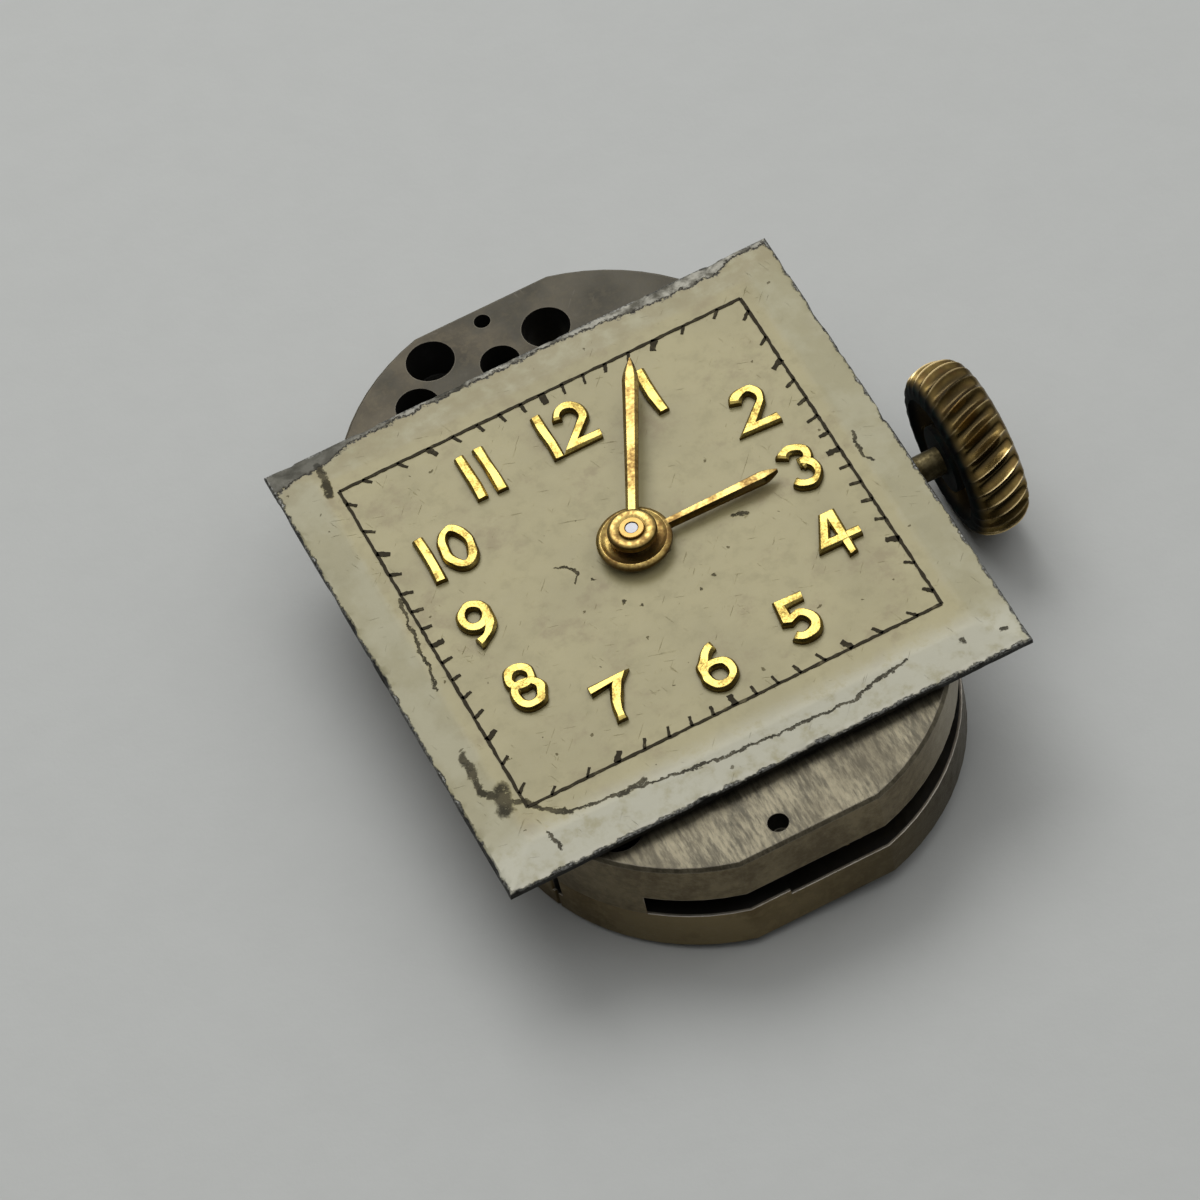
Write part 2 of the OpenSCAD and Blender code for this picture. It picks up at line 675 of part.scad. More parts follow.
module barrel_bridge() color(silvered) difference() {
    bridge_blank() barrel_bridge_2d();
    // Recesses of the winding wheels, from the back
    post(barrel_at, (ratchet_teeth + 2) * winding_mod / 2 + pass_gap, -eps, recess_z);
    post(crown_wheel_at, (crown_wheel_teeth + 2) * winding_mod / 2 + pass_gap, -eps, recess_z);
    slab(-eps, recess_z) {
        link_2d(click_at, click_nose_at, 0.85);
        difference() {
            translate(barrel_at) polygon(concat([[0, 0]], arc([0, 0], 4.35, 4.35, 210, 242)));
            translate(barrel_at) circle(r = 2.5);
        }
    }
    // Room for the barrel, the centre wheel, the clutch and the winding pinion, from the plate side
    post(barrel_at, barrel_pocket_r, drum_lv[0] - pass_gap, bridge_t + eps);
    post([0, 0], (centre_teeth + 2) * centre_mod / 2 + pass_gap, web_z + 0.06, bridge_t + eps);
    translate([window_x[0], -window_w / 2, web_z])
        cube([clutch_x[1] - window_x[0] + 0.03, window_w, bridge_t]);
    translate([pinion_x[0] - 0.05, -0.7, 0.3]) cube([pinion_x[1] - pinion_x[0] + 0.1, 1.4, bridge_t]);
    translate([pinion_x[0] - 0.05, -window_w / 2, web_z])
        cube([pinion_x[1] - pinion_x[0] + 0.1, window_w, bridge_t]);
    shaft_x(stem_r + run_gap, window_x[1] - eps, plate_w);
    // Bore of the barrel arbor, the core's stud hole and the screw holes
    post(barrel_at, barrel_collar_r + run_gap, 0, bridge_t);
    post(crown_wheel_at, core_stud_r, recess_z - eps, web_z + eps);
    for (p = barrel_bridge_screws_at) bridge_screw_hole(p);
    for (i = [0, 1]) steady_pin_hole(steady_pins_at[i]);
    for (p = [click_at, click_spring_at]) post(p, click_thread_r, recess_z - eps, 0.85);
    end_slot(bridge_t - slot_below, bridge_t + eps, slot_step_x);
    side_notch();
}

jewel_shoulder = 0.08;
module train_bridge() color(silvered) difference() {
    bridge_blank() train_bridge_2d();
    post([0, 0], (centre_teeth + 2) * centre_mod / 2 + pass_gap, web_z, bridge_t + eps);
    slab(web_z, bridge_t + eps) link_2d([0, 0], third_at, 1.1);
    for (p = [fourth_at, escape_at]) post(p, 0.4, web_z, bridge_t + eps);
    post(barrel_at, barrel_pocket_r, drum_lv[0] - pass_gap, bridge_t + eps);
    slab(pallet_cock_lv[0] - pass_gap, bridge_t + eps)
        link_2d(pallet_screw_at, pallet_at, pallet_cock_w + 2 * pass_gap);
    // Seats of the jewels, with a sink for oil at the back
    for (p = [[0, 0], third_at, fourth_at, escape_at]) {
        post(p, jewel_r, bridge_jewel_z, bridge_jewel_z + jewel_t);
        post(p, jewel_r - jewel_shoulder, bridge_jewel_z, bridge_t);
        translate([p[0], p[1], -eps])
            cylinder(r1 = jewel_r + jewel_shoulder, r2 = jewel_r - 0.03, h = bridge_jewel_z + 2 * eps);
    }
    for (p = train_bridge_screws_at) bridge_screw_hole(p);
    for (i = [2, 3]) steady_pin_hole(steady_pins_at[i]);
    side_notch();
}

module bridge_screws() color(steel)
    for (p = concat(barrel_bridge_screws_at, train_bridge_screws_at, [cock_screw_at])) {
        head_r = p == cock_screw_at ? cock_head_r : screw_head_r;
        tip_z = (p == cock_screw_at ? cock_hole_z : low_hole_z) - 0.05;
        screw_up(p, head_sink, head_r, screw_head_h, screw_shank_r - thread_gap, tip_z);
    }

module steady_pins() color(brass)
    for (p = steady_pins_at)
        post(p, steady_pin_r, bridge_t - steady_pin_in + 0.02, plate_z + steady_pin_in + 0.03);

module dial() color("#b2ac94") {
    slope = atan2(dial_t - dial_edge_t - dial_relief, dial_border);
    difference() {
        translate([-dial_w / 2, -dial_h / 2 - dial_drop, face_z]) cube([dial_w, dial_h, dial_t]);
        // Sloping border on the four sides
        for (s = [[0, dial_w, dial_h], [90, dial_h, dial_w], [180, dial_w, dial_h], [270, dial_h, dial_w]])
            translate([0, -dial_drop, dial_z]) rotate(s[0])
                translate([s[1] / 2 - dial_border, -s[2], 0]) rotate([0, slope, 0])
                    cube([3 * dial_border, 2 * s[2], dial_t]);
        // Relief under the border
        difference() {
            translate([-dial_w, -dial_h - dial_drop, face_z - eps])
                cube([2 * dial_w, 2 * dial_h, dial_relief + eps]);
            translate([dial_border - dial_w / 2, dial_border - dial_h / 2 - dial_drop, face_z - 2 * eps])
                cube([dial_w - 2 * dial_border, dial_h - 2 * dial_border, dial_t]);
        }
        post([0, 0], dial_hole_r, face_z - eps, dial_z + eps);
    }
    for (p = dial_feet_at) post(p, dial_foot_r, dial_foot_z, face_z + eps);
}

// One figure of the numerals, centred on the origin
fig_h = numeral_h - numeral_stroke;
fig_w = numeral_w - numeral_stroke;
module stroke(points) polygon(ribbon(points, numeral_stroke));
module loop(c, rx, ry) difference() {
    translate(c) polygon(arc([0, 0], rx + numeral_stroke / 2, ry + numeral_stroke / 2, 0, 352, 44));
    translate(c) polygon(arc([0, 0], rx - numeral_stroke / 2, ry - numeral_stroke / 2, 0, 352, 44));
}
module figure(n) {
    h = fig_h / 2;
    w = fig_w / 2;
    low_r = fig_h * 0.3;
    top_r = fig_h * 0.24;
    if (n == 0) loop([0, 0], w, h);
    if (n == 1) stroke([[0, -h - numeral_stroke / 2], [0, h + numeral_stroke / 2]]);
    if (n == 2) {
        stroke(concat(arc([0, h - low_r], w, low_r, 165, -35), [[-w, -h]]));
        stroke([[-w - 0.1, -h], [w + 0.1, -h]]);
    }
    if (n == 3) {
        stroke(arc([0, h - top_r], w * 0.9, top_r, 155, -90));
        stroke(arc([0, low_r - h], w, low_r, 90, -155));
    }
    if (n == 4) {
        stroke([[w * 0.35, -h - numeral_stroke / 2], [w * 0.35, h + numeral_stroke / 2]]);
        stroke([[w * 0.35, h], [-w - 0.06, -h * 0.35]]);
        stroke([[-w - 0.12, -h * 0.35], [w + 0.14, -h * 0.35]]);
    }
    if (n == 5) {
        stroke([[-w * 0.7, h], [w, h]]);
        stroke([[-w * 0.7, h + numeral_stroke / 2], [-w * 0.85, 0]]);
        stroke(arc([-w * 0.08, low_r - h], w, low_r, 140, -150));
    }
    if (n == 6) {
        loop([0, low_r - h], w, low_r);
        stroke(arc([w * 0.9, low_r - h], w * 1.9, fig_h - low_r, 180, 95));
    }
    if (n == 7) {
        stroke([[-w - 0.1, h], [w + 0.1, h]]);
        stroke(arc([1.6 - w * 0.3, -h], 1.6, fig_h * 1.52, 180, 139));
    }
    if (n == 8) {
        loop([0, h - top_r], w * 0.85, top_r);
        loop([0, low_r - h], w, low_r);
    }
    if (n == 9) rotate(180) figure(6);
}
numeral_x = 3.85;
numeral_y = 3.6;
numeral_in = 2.12;
numeral_side = 2.04;
numeral_at = [[numeral_in, numeral_y], [numeral_x, numeral_side], [numeral_x + 0.1, -0.02],
    [numeral_x, -numeral_side - 0.06], [numeral_in, -numeral_y], [0.03, -numeral_y - 0.2],
    [-numeral_in, -numeral_y + 0.1], [-numeral_x + 0.1, -numeral_side - 0.07], [-numeral_x, -0.05],
    [-numeral_x + 0.1, numeral_side], [-numeral_in, numeral_y], [0, numeral_y + 0.07]];
module numeral_2d(n) {
    units = n % 10;
    pitch = n == 11 ? 0.46 : units == 0 || units == 2 ? 0.68 : 0.5;
    if (n < 10) figure(n);
    if (n > 9) {
        translate([-pitch * (n == 11 ? 0.5 : 0.62), 0]) figure(1);
        translate([pitch * (n == 11 ? 0.5 : 0.38), 0]) figure(units);
    }
}
module hour_numerals() color(gilt)
    for (n = [1 : 12])
        translate(numeral_at[n - 1]) slab(dial_z, dial_z + numeral_t) numeral_2d(n);

// Hand with a round boss, a narrow neck and a pointed blade
module hand_2d(reach, w, boss_r) {
    circle(r = boss_r);
    polygon([[boss_r * 0.8, -w * 0.22], [reach * 0.7, -w / 2], [reach, -w * 0.08],
        [reach, w * 0.08], [reach * 0.7, w / 2], [boss_r * 0.8, w * 0.22]]);
}
module minute_hand() color(gilt) difference() {
    union() {
        slab(minute_hand_z, minute_hand_z + hand_t)
            rotate(90 - 6 * minute_shown) hand_2d(minute_hand_l, minute_hand_w, minute_boss_r);
        post([0, 0], minute_boss_r, minute_hand_z, minute_hand_z + 0.2);
    }
    post([0, 0], cannon_r, minute_hand_z - eps, dial_z + 1);
}
module hour_hand() color(gilt) difference() {
    union() {
        slab(hour_hand_z, hour_hand_z + hand_t)
            rotate(90 - 30 * hour_shown) hand_2d(hour_hand_l, hour_hand_w, hour_boss_r);
        post([0, 0], hour_boss_r, hour_hand_z, hour_pipe_top_z);
    }
    post([0, 0], hour_pipe_r, hour_hand_z - eps, dial_z + 1);
}

module cannon_pinion() color(steel) difference() {
    union() {
        slab(cannon_lv[0], cannon_lv[1]) toothed_2d(cannon_leaves, setting_mod);
        post([0, 0], cannon_r, cannon_lv[1] - eps, cannon_top_z);
    }
    post([0, 0], arbor_r + run_gap, cannon_lv[0] - eps, cannon_top_z + eps);
}
module hour_wheel() color(brass) difference() {
    union() {
        slab(hour_wheel_lv[0], hour_wheel_lv[1]) toothed_2d(hour_teeth, hour_mod, hour_turn);
        post([0, 0], hour_pipe_r, hour_wheel_lv[0], hour_pipe_top_z);
    }
    post([0, 0], cannon_r + run_gap, hour_wheel_lv[0] - eps, hour_pipe_top_z + eps);
}
module minute_wheel() color(brass) difference() {
    union() {
        slab(minute_wheel_lv[0], minute_wheel_lv[1])
            translate(minute_at) toothed_2d(minute_teeth, setting_mod, minute_turn);
        slab(minute_pinion_lv[0] - eps, minute_pinion_lv[1])
            translate(minute_at) toothed_2d(minute_leaves, hour_mod);
    }
    post(minute_at, minute_post_r + run_gap, motion_z, face_z);
}
module minute_wheel_post() color(steel)
    post(minute_at, minute_post_r, motion_z - thread_depth + 0.02, minute_pinion_lv[1] - 0.01);
module dial_washer() color(brass) difference() {
    post([0, 0], 1.0, hour_wheel_lv[1], face_z);
    post([0, 0], hour_pipe_r + run_gap, hour_wheel_lv[1] - eps, face_z + eps);
}
module setting_wheel() color(steel) difference() {
    slab(setting_wheel_lv[0], setting_wheel_lv[1])
        translate(setting_at) toothed_2d(setting_teeth, setting_mod, setting_turn);
    post(setting_at, setting_post_r + run_gap, setting_floor_z, face_z);
}

// Toothed face of the clutch or the pinion, cut by narrow radial notches
module face_notches(x, count, r, depth) {
    for (i = [0 : count - 1])
        translate([x, 0, stem_z]) rotate([i * 360 / count, 0, 0])
            translate([-depth, -slot_w / 2, r * 0.45]) cube([2 * depth, slot_w, r]);
}
module clutch_wheel() color(steel) difference() {
    shaft_x(clutch_r, clutch_x[0], clutch_x[1]);
    difference() {
        shaft_x(clutch_r + 1, clutch_groove_x, clutch_groove_x + clutch_groove_w);
        shaft_x(clutch_groove_r, 0, plate_w);
    }
    translate([0, 0, stem_z]) rotate([0, 90, 0]) translate([0, 0, clutch_x[0] - eps])
        linear_extrude(plate_w) square(square_side + 2 * run_gap, center = true);
    face_notches(clutch_x[0], 14, clutch_r, 0.12);
    face_notches(clutch_x[1], 10, clutch_r, 0.07);
}
module winding_pinion() color(steel) difference() {
    union() {
        translate([pinion_x[0], 0, stem_z]) rotate([0, 90, 0])
            linear_extrude(pinion_x[1] - pinion_x[0]) toothed_2d(winding_leaves, winding_mod, 0);
        shaft_x(0.56, pinion_x[0] - 0.07, pinion_x[0] + eps);
    }
    shaft_x(stem_r + run_gap, 0, plate_w);
    face_notches(pinion_x[0] - 0.07, 10, 0.56, 0.06);
}
module winding_stem() color("#8b8158") difference() {
    union() {
        shaft_x(pilot_r, pilot_x + 0.05, square_x + 0.05);
        translate([square_x, 0, stem_z]) rotate([0, 90, 0])
            linear_extrude(pinion_x[0] - square_x) square(square_side, center = true);
        shaft_x(stem_r, pinion_x[0], crown_x - crown_t / 2 + stem_in_crown);
    }
    difference() {
        shaft_x(stem_r + 1, lever_groove_x - lever_groove_w / 2, lever_groove_x + lever_groove_w / 2);
        shaft_x(lever_groove_r, 0, plate_w);
    }
}

module crown() color("#96803f") {
    x0 = crown_x - crown_t / 2;
    edge = 0.3;
    hollow_wall = 0.4;
    hollow_depth = 0.5;
    tube_r = 0.8;
    difference() {
        translate([x0, 0, stem_z]) rotate([0, 90, 0]) difference() {
            rotate_extrude($fn = 96) union() {
                square([crown_r - edge, crown_t]);
                translate([0, edge]) square([crown_r, crown_t - 2 * edge]);
                translate([crown_r - edge, edge]) circle(r = edge);
                translate([crown_r - edge, crown_t - edge]) circle(r = edge);
            }
            // Hollow inner side round the crown's tube
            difference() {
                translate([0, 0, -eps]) cylinder(r = crown_r - hollow_wall, h = hollow_depth);
                translate([0, 0, -2 * eps]) cylinder(r = tube_r, h = 2 * hollow_depth);
            }
        }
        for (i = [0 : crown_flutes - 1])
            translate([crown_x, 0, stem_z]) rotate([i * 360 / crown_flutes, 0, 0])
                translate([0, 0, crown_r + 0.4 * flute_r]) rotate([0, 90, flute_slant])
                    translate([0, 0, -crown_t]) cylinder(r = flute_r, h = 2 * crown_t, $fn = 16);
        shaft_x(stem_r, x0 - eps, x0 + stem_in_crown);
    }
}

module setting_lever() color(steel) difference() {
    union() {
        slab(lever_lv[0], lever_lv[1]) {
            link_2d(setting_lever_at, [lever_groove_x, 0], 0.34);
            link_2d(setting_lever_at, setting_lever_at + [-0.5, -0.35], 0.4);
        }
        post([lever_groove_x, 0], lever_pin_r, stem_z + 0.23, lever_lv[0] + eps);
    }
    post(setting_lever_at, small_thread_r + run_gap, motion_z, face_z);
}
module setting_lever_screw() color(steel)
    screw_down(setting_lever_at, lever_lv[1] + 0.16, 0.32, 0.14, small_thread_r,
        motion_z - thread_depth + 0.02);
module yoke() color(steel) difference() {
    union() {
        slab(lever_lv[0], lever_lv[1]) {
            link_2d(yoke_at, [3.42, -0.75], 0.4);
            link_2d([3.42, -0.75], [3.42, 0.1], 0.2);
            link_2d(yoke_at, yoke_at + [0.35, -0.45], 0.36);
        }
        translate([clutch_groove_x + 0.04, -0.1, 1.86])
            cube([clutch_groove_w - 0.08, 0.2, lever_lv[0] - 1.86 + eps]);
    }
    post(yoke_at, yoke_post_r + run_gap, motion_z, face_z);
}
module yoke_spring() color(steel) difference() {
    union() {
        post(yoke_spring_at, 0.36, lever_lv[0], lever_lv[1]);
        slab(lever_lv[0] + 0.02, lever_lv[1] - 0.02)
            polygon(ribbon(arc(yoke_spring_at + [0.1, 1.35], 1.15, 1.15, -90, 0, 14), 0.09));
    }
    post(yoke_spring_at, small_thread_r + 0.02, motion_z, face_z);
}
module setting_lever_spring() color(steel) difference() {
    union() {
        slab(cover_lv[0], cover_lv[1]) {
            link_2d(cover_screw_at, [4.15, 0.3], 0.9);
            link_2d([4.15, 0.3], [3.1, -0.9], 0.5);
        }
        slab(cover_lv[0] + 0.01, cover_lv[1] - 0.01)
            polygon(ribbon(arc([3.0, 0.2], 1.5, 1.5, 12, -52, 10), 0.14));
    }
    post(cover_screw_at, small_thread_r + 0.02, motion_z, face_z);
}
module dial_side_screws() color(steel) {
    head_r = 0.3;
    head_h = 0.1;
    shank_r = small_thread_r - thread_gap;
    screw_down(cover_screw_at, cover_lv[1] + head_h, head_r, head_h, shank_r, motion_z - thread_depth + 0.02);
    screw_down(yoke_spring_at, lever_lv[1] + head_h, head_r, head_h, shank_r,
        motion_z - spring_thread_depth + 0.02);
}
module dial_foot_screws() color(steel)
    for (p = dial_feet_at) {
        side = sign(p[0]);
        head_x = foot_screw_x(p) - foot_head_in;
        reach = head_x - abs(p[0]) - dial_foot_r;
        difference() {
            translate([p[0] + side * dial_foot_r, p[1], foot_screw_z]) rotate([0, side * 90, 0]) {
                cylinder(r = foot_screw_r, h = reach);
                translate([0, 0, reach - foot_head_t]) cylinder(r = foot_head_r, h = foot_head_t);
            }
            translate([side * head_x, p[1], foot_screw_z]) cube([foot_head_t, 1, slot_w], center = true);
        }
    }

module barrel_drum() color(brass) difference() {
    union() {
        post(barrel_at, drum_r, drum_lv[0], drum_lv[1]);
        slab(barrel_teeth_lv[0], barrel_teeth_lv[1])
            translate(barrel_at) toothed_2d(barrel_teeth, barrel_mod, barrel_turn);
    }
    post(barrel_at, drum_r - drum_wall, drum_lv[0] - eps, drum_lv[1] - cover_t);
    post(barrel_at, barrel_bore_r + run_gap, drum_lv[0] - eps, drum_lv[1] + eps);
}
module barrel_cover() color(brass) difference() {
    post(barrel_at, drum_r - drum_wall, drum_lv[0], drum_lv[0] + cover_t);
    post(barrel_at, barrel_collar_r + run_gap, 0, drum_lv[1]);
}
module barrel_arbor() color(steel) difference() {
    union() {
        post(barrel_at, barrel_bore_r - run_gap, drum_lv[1] - cover_t - 0.1, face_z - 0.2);
        post(barrel_at, hook_r, drum_lv[0] + cover_t + 0.03, drum_lv[1] - cover_t - 0.02);
        post(barrel_at, barrel_collar_r - 0.002, recess_z + 0.01, drum_lv[0] + cover_t + 0.04);
        translate([barrel_at[0], barrel_at[1], (wheel_face_z + recess_z) / 2 + 0.02])
            cube([barrel_square, barrel_square, recess_z - wheel_face_z], center = true);
    }
    post(barrel_at, small_thread_r, 0, drum_lv[0] - 0.1);
}
module mainspring() color(blued) translate(barrel_at)
    slab(drum_lv[0] + cover_t + 0.04, drum_lv[1] - cover_t - 0.04)
        polygon(ribbon(spiral(hook_r + 0.08, drum_r - drum_wall - 0.08, mainspring_turns, 20), 0.11));

module ratchet_wheel() color(steel) difference() {
    slab(wheel_face_z, wheel_face_z + ratchet_t)
        translate(barrel_at) toothed_2d(ratchet_teeth, winding_mod, ratchet_turn);
    hole = barrel_square + 0.01;
    translate([barrel_at[0], barrel_at[1], wheel_face_z]) cube([hole, hole, 4 * ratchet_t], center = true);
}
module ratchet_screw() color(steel)
    screw_up(barrel_at, 0.02, 0.85, wheel_face_z - 0.02, small_thread_r - thread_gap, drum_lv[0] - 0.15);
module crown_wheel() color(steel) difference() {
    slab(wheel_face_z, recess_z - 0.04)
        translate(crown_wheel_at) toothed_2d(crown_wheel_teeth, winding_mod, 0);
    post(crown_wheel_at, core_r + run_gap, 0, bridge_t);
}
module crown_wheel_core() color(steel) difference() {
    union() {
        post(crown_wheel_at, core_r, wheel_face_z, recess_z);
        post(crown_wheel_at, core_stud_r - thread_gap, recess_z - eps, web_z);
    }
    post(crown_wheel_at, core_thread_r, 0, web_z - 0.03);
}
module crown_wheel_screw() color(steel)
    screw_up(crown_wheel_at, 0.02, 0.78, wheel_face_z - 0.02, core_thread_r - 0.002, web_z - 0.06);

// Click with its nose between two ratchet teeth, and the wire that presses it there
ratchet_tip_r = ratchet_pitch_r + 0.9 * winding_mod;
module click() color(steel) difference() {
    slab(wheel_face_z + 0.03, wheel_face_z + 0.3) {
        difference() {
            translate(click_at) circle(r = 0.28);
            translate(barrel_at) circle(r = ratchet_tip_r + 0.02, $fn = 96);
        }
        translate(click_at) rotate(heading(click_nose_at - click_at))
            polygon([[0, -0.24], [norm(click_nose_at - click_at), -0.08],
                [norm(click_nose_at - click_at), 0.08], [0, 0.24]]);
    }
    post(click_at, click_thread_r + run_gap, 0, bridge_t);
}
module click_screw() color(steel)
    screw_up(click_at, 0.05, 0.26, wheel_face_z - 0.04, click_thread_r - thread_gap, 0.82);
module click_spring() color(blued) {
    slab(wheel_face_z + 0.05, wheel_face_z + 0.25)
        polygon(ribbon(arc(barrel_at, 4.12, 4.12, 214, 240, 12), 0.07));
    post(click_spring_at, click_thread_r, wheel_face_z, 0.83);
}

// Arbor with its two pivots between the jewels of the bridge and the plate
module train_arbor(p, z1) {
    post(p, pivot_r, pivot_start_z, z1);
    post(p, arbor_r, pivot_start_z + jewel_t + 0.09, z1 - jewel_t - 0.03);
}
module centre_wheel() color(brass) {
    slab(centre_wheel_lv[0], centre_wheel_lv[1]) spoked_2d(centre_teeth, centre_mod, 0, 4, 0.45);
    slab(centre_pinion_lv[0], centre_pinion_lv[1]) toothed_2d(centre_leaves, barrel_mod, centre_turn);
    post([0, 0], centre_pivot_r, pivot_start_z, web_z + 2 * pass_gap);
    post([0, 0], centre_bore_r + 0.05, web_z + pass_gap, centre_pinion_lv[1]);
    post([0, 0], centre_bore_r - run_gap, centre_pinion_lv[1] - eps, motion_z);
    post([0, 0], arbor_r, motion_z - eps, arbor_top_z);
}
module train_wheel(p, z1, leaf_mod, leaf_turn, pinion_lv, teeth, mod, wheel_lv) {
    train_arbor(p, z1);
    slab(pinion_lv[0], pinion_lv[1]) translate(p) toothed_2d(train_leaves, leaf_mod, leaf_turn);
    slab(wheel_lv[0], wheel_lv[1]) translate(p) spoked_2d(teeth, mod, 0, 4, 0.3);
}
module third_wheel() color(brass)
    train_wheel(third_at, third_floor_z + jewel_t, centre_mod, third_turn, third_pinion_lv,
        third_teeth, third_mod, third_wheel_lv);
module fourth_wheel() color(brass)
    train_wheel(fourth_at, train_floor_z + jewel_t, third_mod, fourth_turn, fourth_pinion_lv,
        fourth_teeth, fourth_mod, fourth_wheel_lv);
module escape_wheel() color(steel) {
    train_arbor(escape_at, train_floor_z + jewel_t);
    slab(escape_pinion_lv[0], escape_pinion_lv[1])
        translate(escape_at) toothed_2d(escape_leaves, fourth_mod, escape_turn);
    slab(escape_wheel_lv[0], escape_wheel_lv[1]) translate(escape_at) {
        difference() {
            circle(r = escape_r * 0.78);
            circle(r = escape_r * 0.62);
        }
        circle(r = 0.3);
        for (i = [0 : 3]) rotate(i * 90) translate([0, -0.07]) square([escape_r * 0.7, 0.14]);
        for (i = [0 : escape_teeth - 1]) rotate(i * 360 / escape_teeth)
            polygon([polar(escape_r * 0.74, -7), polar(escape_r, 3), polar(escape_r, 6),
                polar(escape_r * 0.74, 5)]);
    }
}

// Lever with its fork towards the balance; drawn with the fork along +X and turned into place
fork_reach = lever_gap - impulse_reach;
arm_end = [0.19 * escape_r - 0.47, 0.8];
module at_pallet() translate(pallet_at) rotate(lever_dir) children();
// Stone in the slot of an arm; it points at the escape wheel's centre and reaches just inside its tips
module stone_2d(s) {
    to_wheel = [-pallet_gap, 0] - [arm_end[0], s * arm_end[1]];
    translate([arm_end[0], s * arm_end[1]]) rotate(heading(to_wheel))
        translate([-0.04, -0.06]) square([norm(to_wheel) - escape_r + 0.05, 0.12]);
}
module pallet_lever() color(steel) {
    slab(escape_wheel_lv[0], escape_wheel_lv[1]) at_pallet() {
        circle(r = 0.24);
        translate([0, -0.09]) square([fork_reach - 0.14, 0.18]);
        difference() {
            translate([fork_reach - 0.16, -0.19]) square([0.24, 0.38]);
            translate([fork_reach - 0.04, -0.07]) square([0.3, 0.14]);
        }
        for (s = [-1, 1]) difference() {
            link_2d([0, 0], [arm_end[0], s * arm_end[1]], 0.26);
            stone_2d(s);
        }
    }
    post(pallet_at, pivot_r, pallet_jewel_z + 0.01, lever_floor_z + jewel_t);
    post(pallet_at, 2 * pivot_r, pallet_cock_lv[1] + 0.02, lever_floor_z - 0.03);
}
module pallet_stones() color(ruby)
    slab(escape_wheel_lv[0] - 0.03, escape_wheel_lv[1] + 0.03) at_pallet()
        for (s = [-1, 1]) stone_2d(s);
module pallet_cock() color(silvered) difference() {
    slab(pallet_cock_lv[0], pallet_cock_lv[1]) link_2d(pallet_screw_at, pallet_at, pallet_cock_w);
    post(pallet_at, jewel_r, 0, pallet_jewel_z + jewel_t);
    post(pallet_at, jewel_r - jewel_shoulder, 0, bridge_t + plate_t);
    post(pallet_screw_at, pallet_thread_r + screw_play, 0, bridge_t + plate_t);
}
module pallet_cock_screw() color(steel)
    screw_up(pallet_screw_at, pallet_cock_lv[0] - 0.15, 0.32, 0.15, pallet_thread_r - thread_gap, 2.0);

module balance_wheel() color(brass) translate(balance_at) difference() {
    slab(balance_lv[0], balance_lv[1]) {
        difference() {
            circle(r = balance_r, $fn = 96);
            circle(r = balance_r - rim_w, $fn = 96);
        }
        circle(r = balance_hub_r);
        rotate(20) square([2 * balance_r - 0.2, 0.3], center = true);
    }
    // The arms are thinner than the rim
    difference() {
        post([0, 0], balance_r - rim_w, balance_lv[0] - eps, balance_lv[0] + 0.14);
        post([0, 0], balance_hub_r, 0, face_z);
    }
    post([0, 0], balance_seat_r, 0, face_z);
}
module balance_screws() color(gilt)
    translate([balance_at[0], balance_at[1], (balance_lv[0] + balance_lv[1]) / 2])
        for (i = [0 : rim_screws - 1]) rotate(i * 360 / rim_screws + 32) rotate([0, 90, 0])
            translate([0, 0, balance_r]) cylinder(r = 0.1, h = balance_screw_l, $fn = 24);
module balance_staff() color(steel) {
    post(balance_at, pivot_r, 0.29, lever_floor_z + jewel_t);
    post(balance_at, balance_seat_r, cock_lv[1] + 0.04, balance_lv[1] + 0.04);
    post(balance_at, balance_seat_r + 0.07, balance_lv[1], balance_lv[1] + 0.14);
    post(balance_at, staff_foot_r, balance_lv[1], lever_floor_z - 0.03);
    // Collet of the hairspring
    post(balance_at, 0.27, spring_lv[0], spring_lv[1] + 0.02);
}
module roller() color(steel) difference() {
    union() {
        post(balance_at, impulse_reach + 0.13, roller_lv[0], roller_lv[1]);
        post(balance_at, 0.26, roller_lv[1] - eps, escape_wheel_lv[1]);
    }
    post(balance_at, staff_foot_r, 0, face_z);
    at_jewel() cylinder(r = impulse_r, h = face_z);
}
module at_jewel() translate([balance_at[0], balance_at[1], 0])
    rotate(lever_dir + 180) translate([impulse_reach, 0]) children();
module impulse_jewel() color(ruby) at_jewel()
    translate([0, 0, roller_lv[0]]) cylinder(r = impulse_r, h = escape_wheel_lv[1] - roller_lv[0]);
module hairspring() color(blued) translate(balance_at)
    slab(spring_lv[0] + 0.01, spring_lv[1] - 0.01)
        polygon(ribbon(concat(spiral(0.3, 1.16, hairspring_turns, 0), [polar(1.25, 16)]), 0.022));
module hairspring_stud() color(steel)
    post(stud_at, stud_r, cock_lv[0] + 0.02, spring_lv[1] + 0.02);

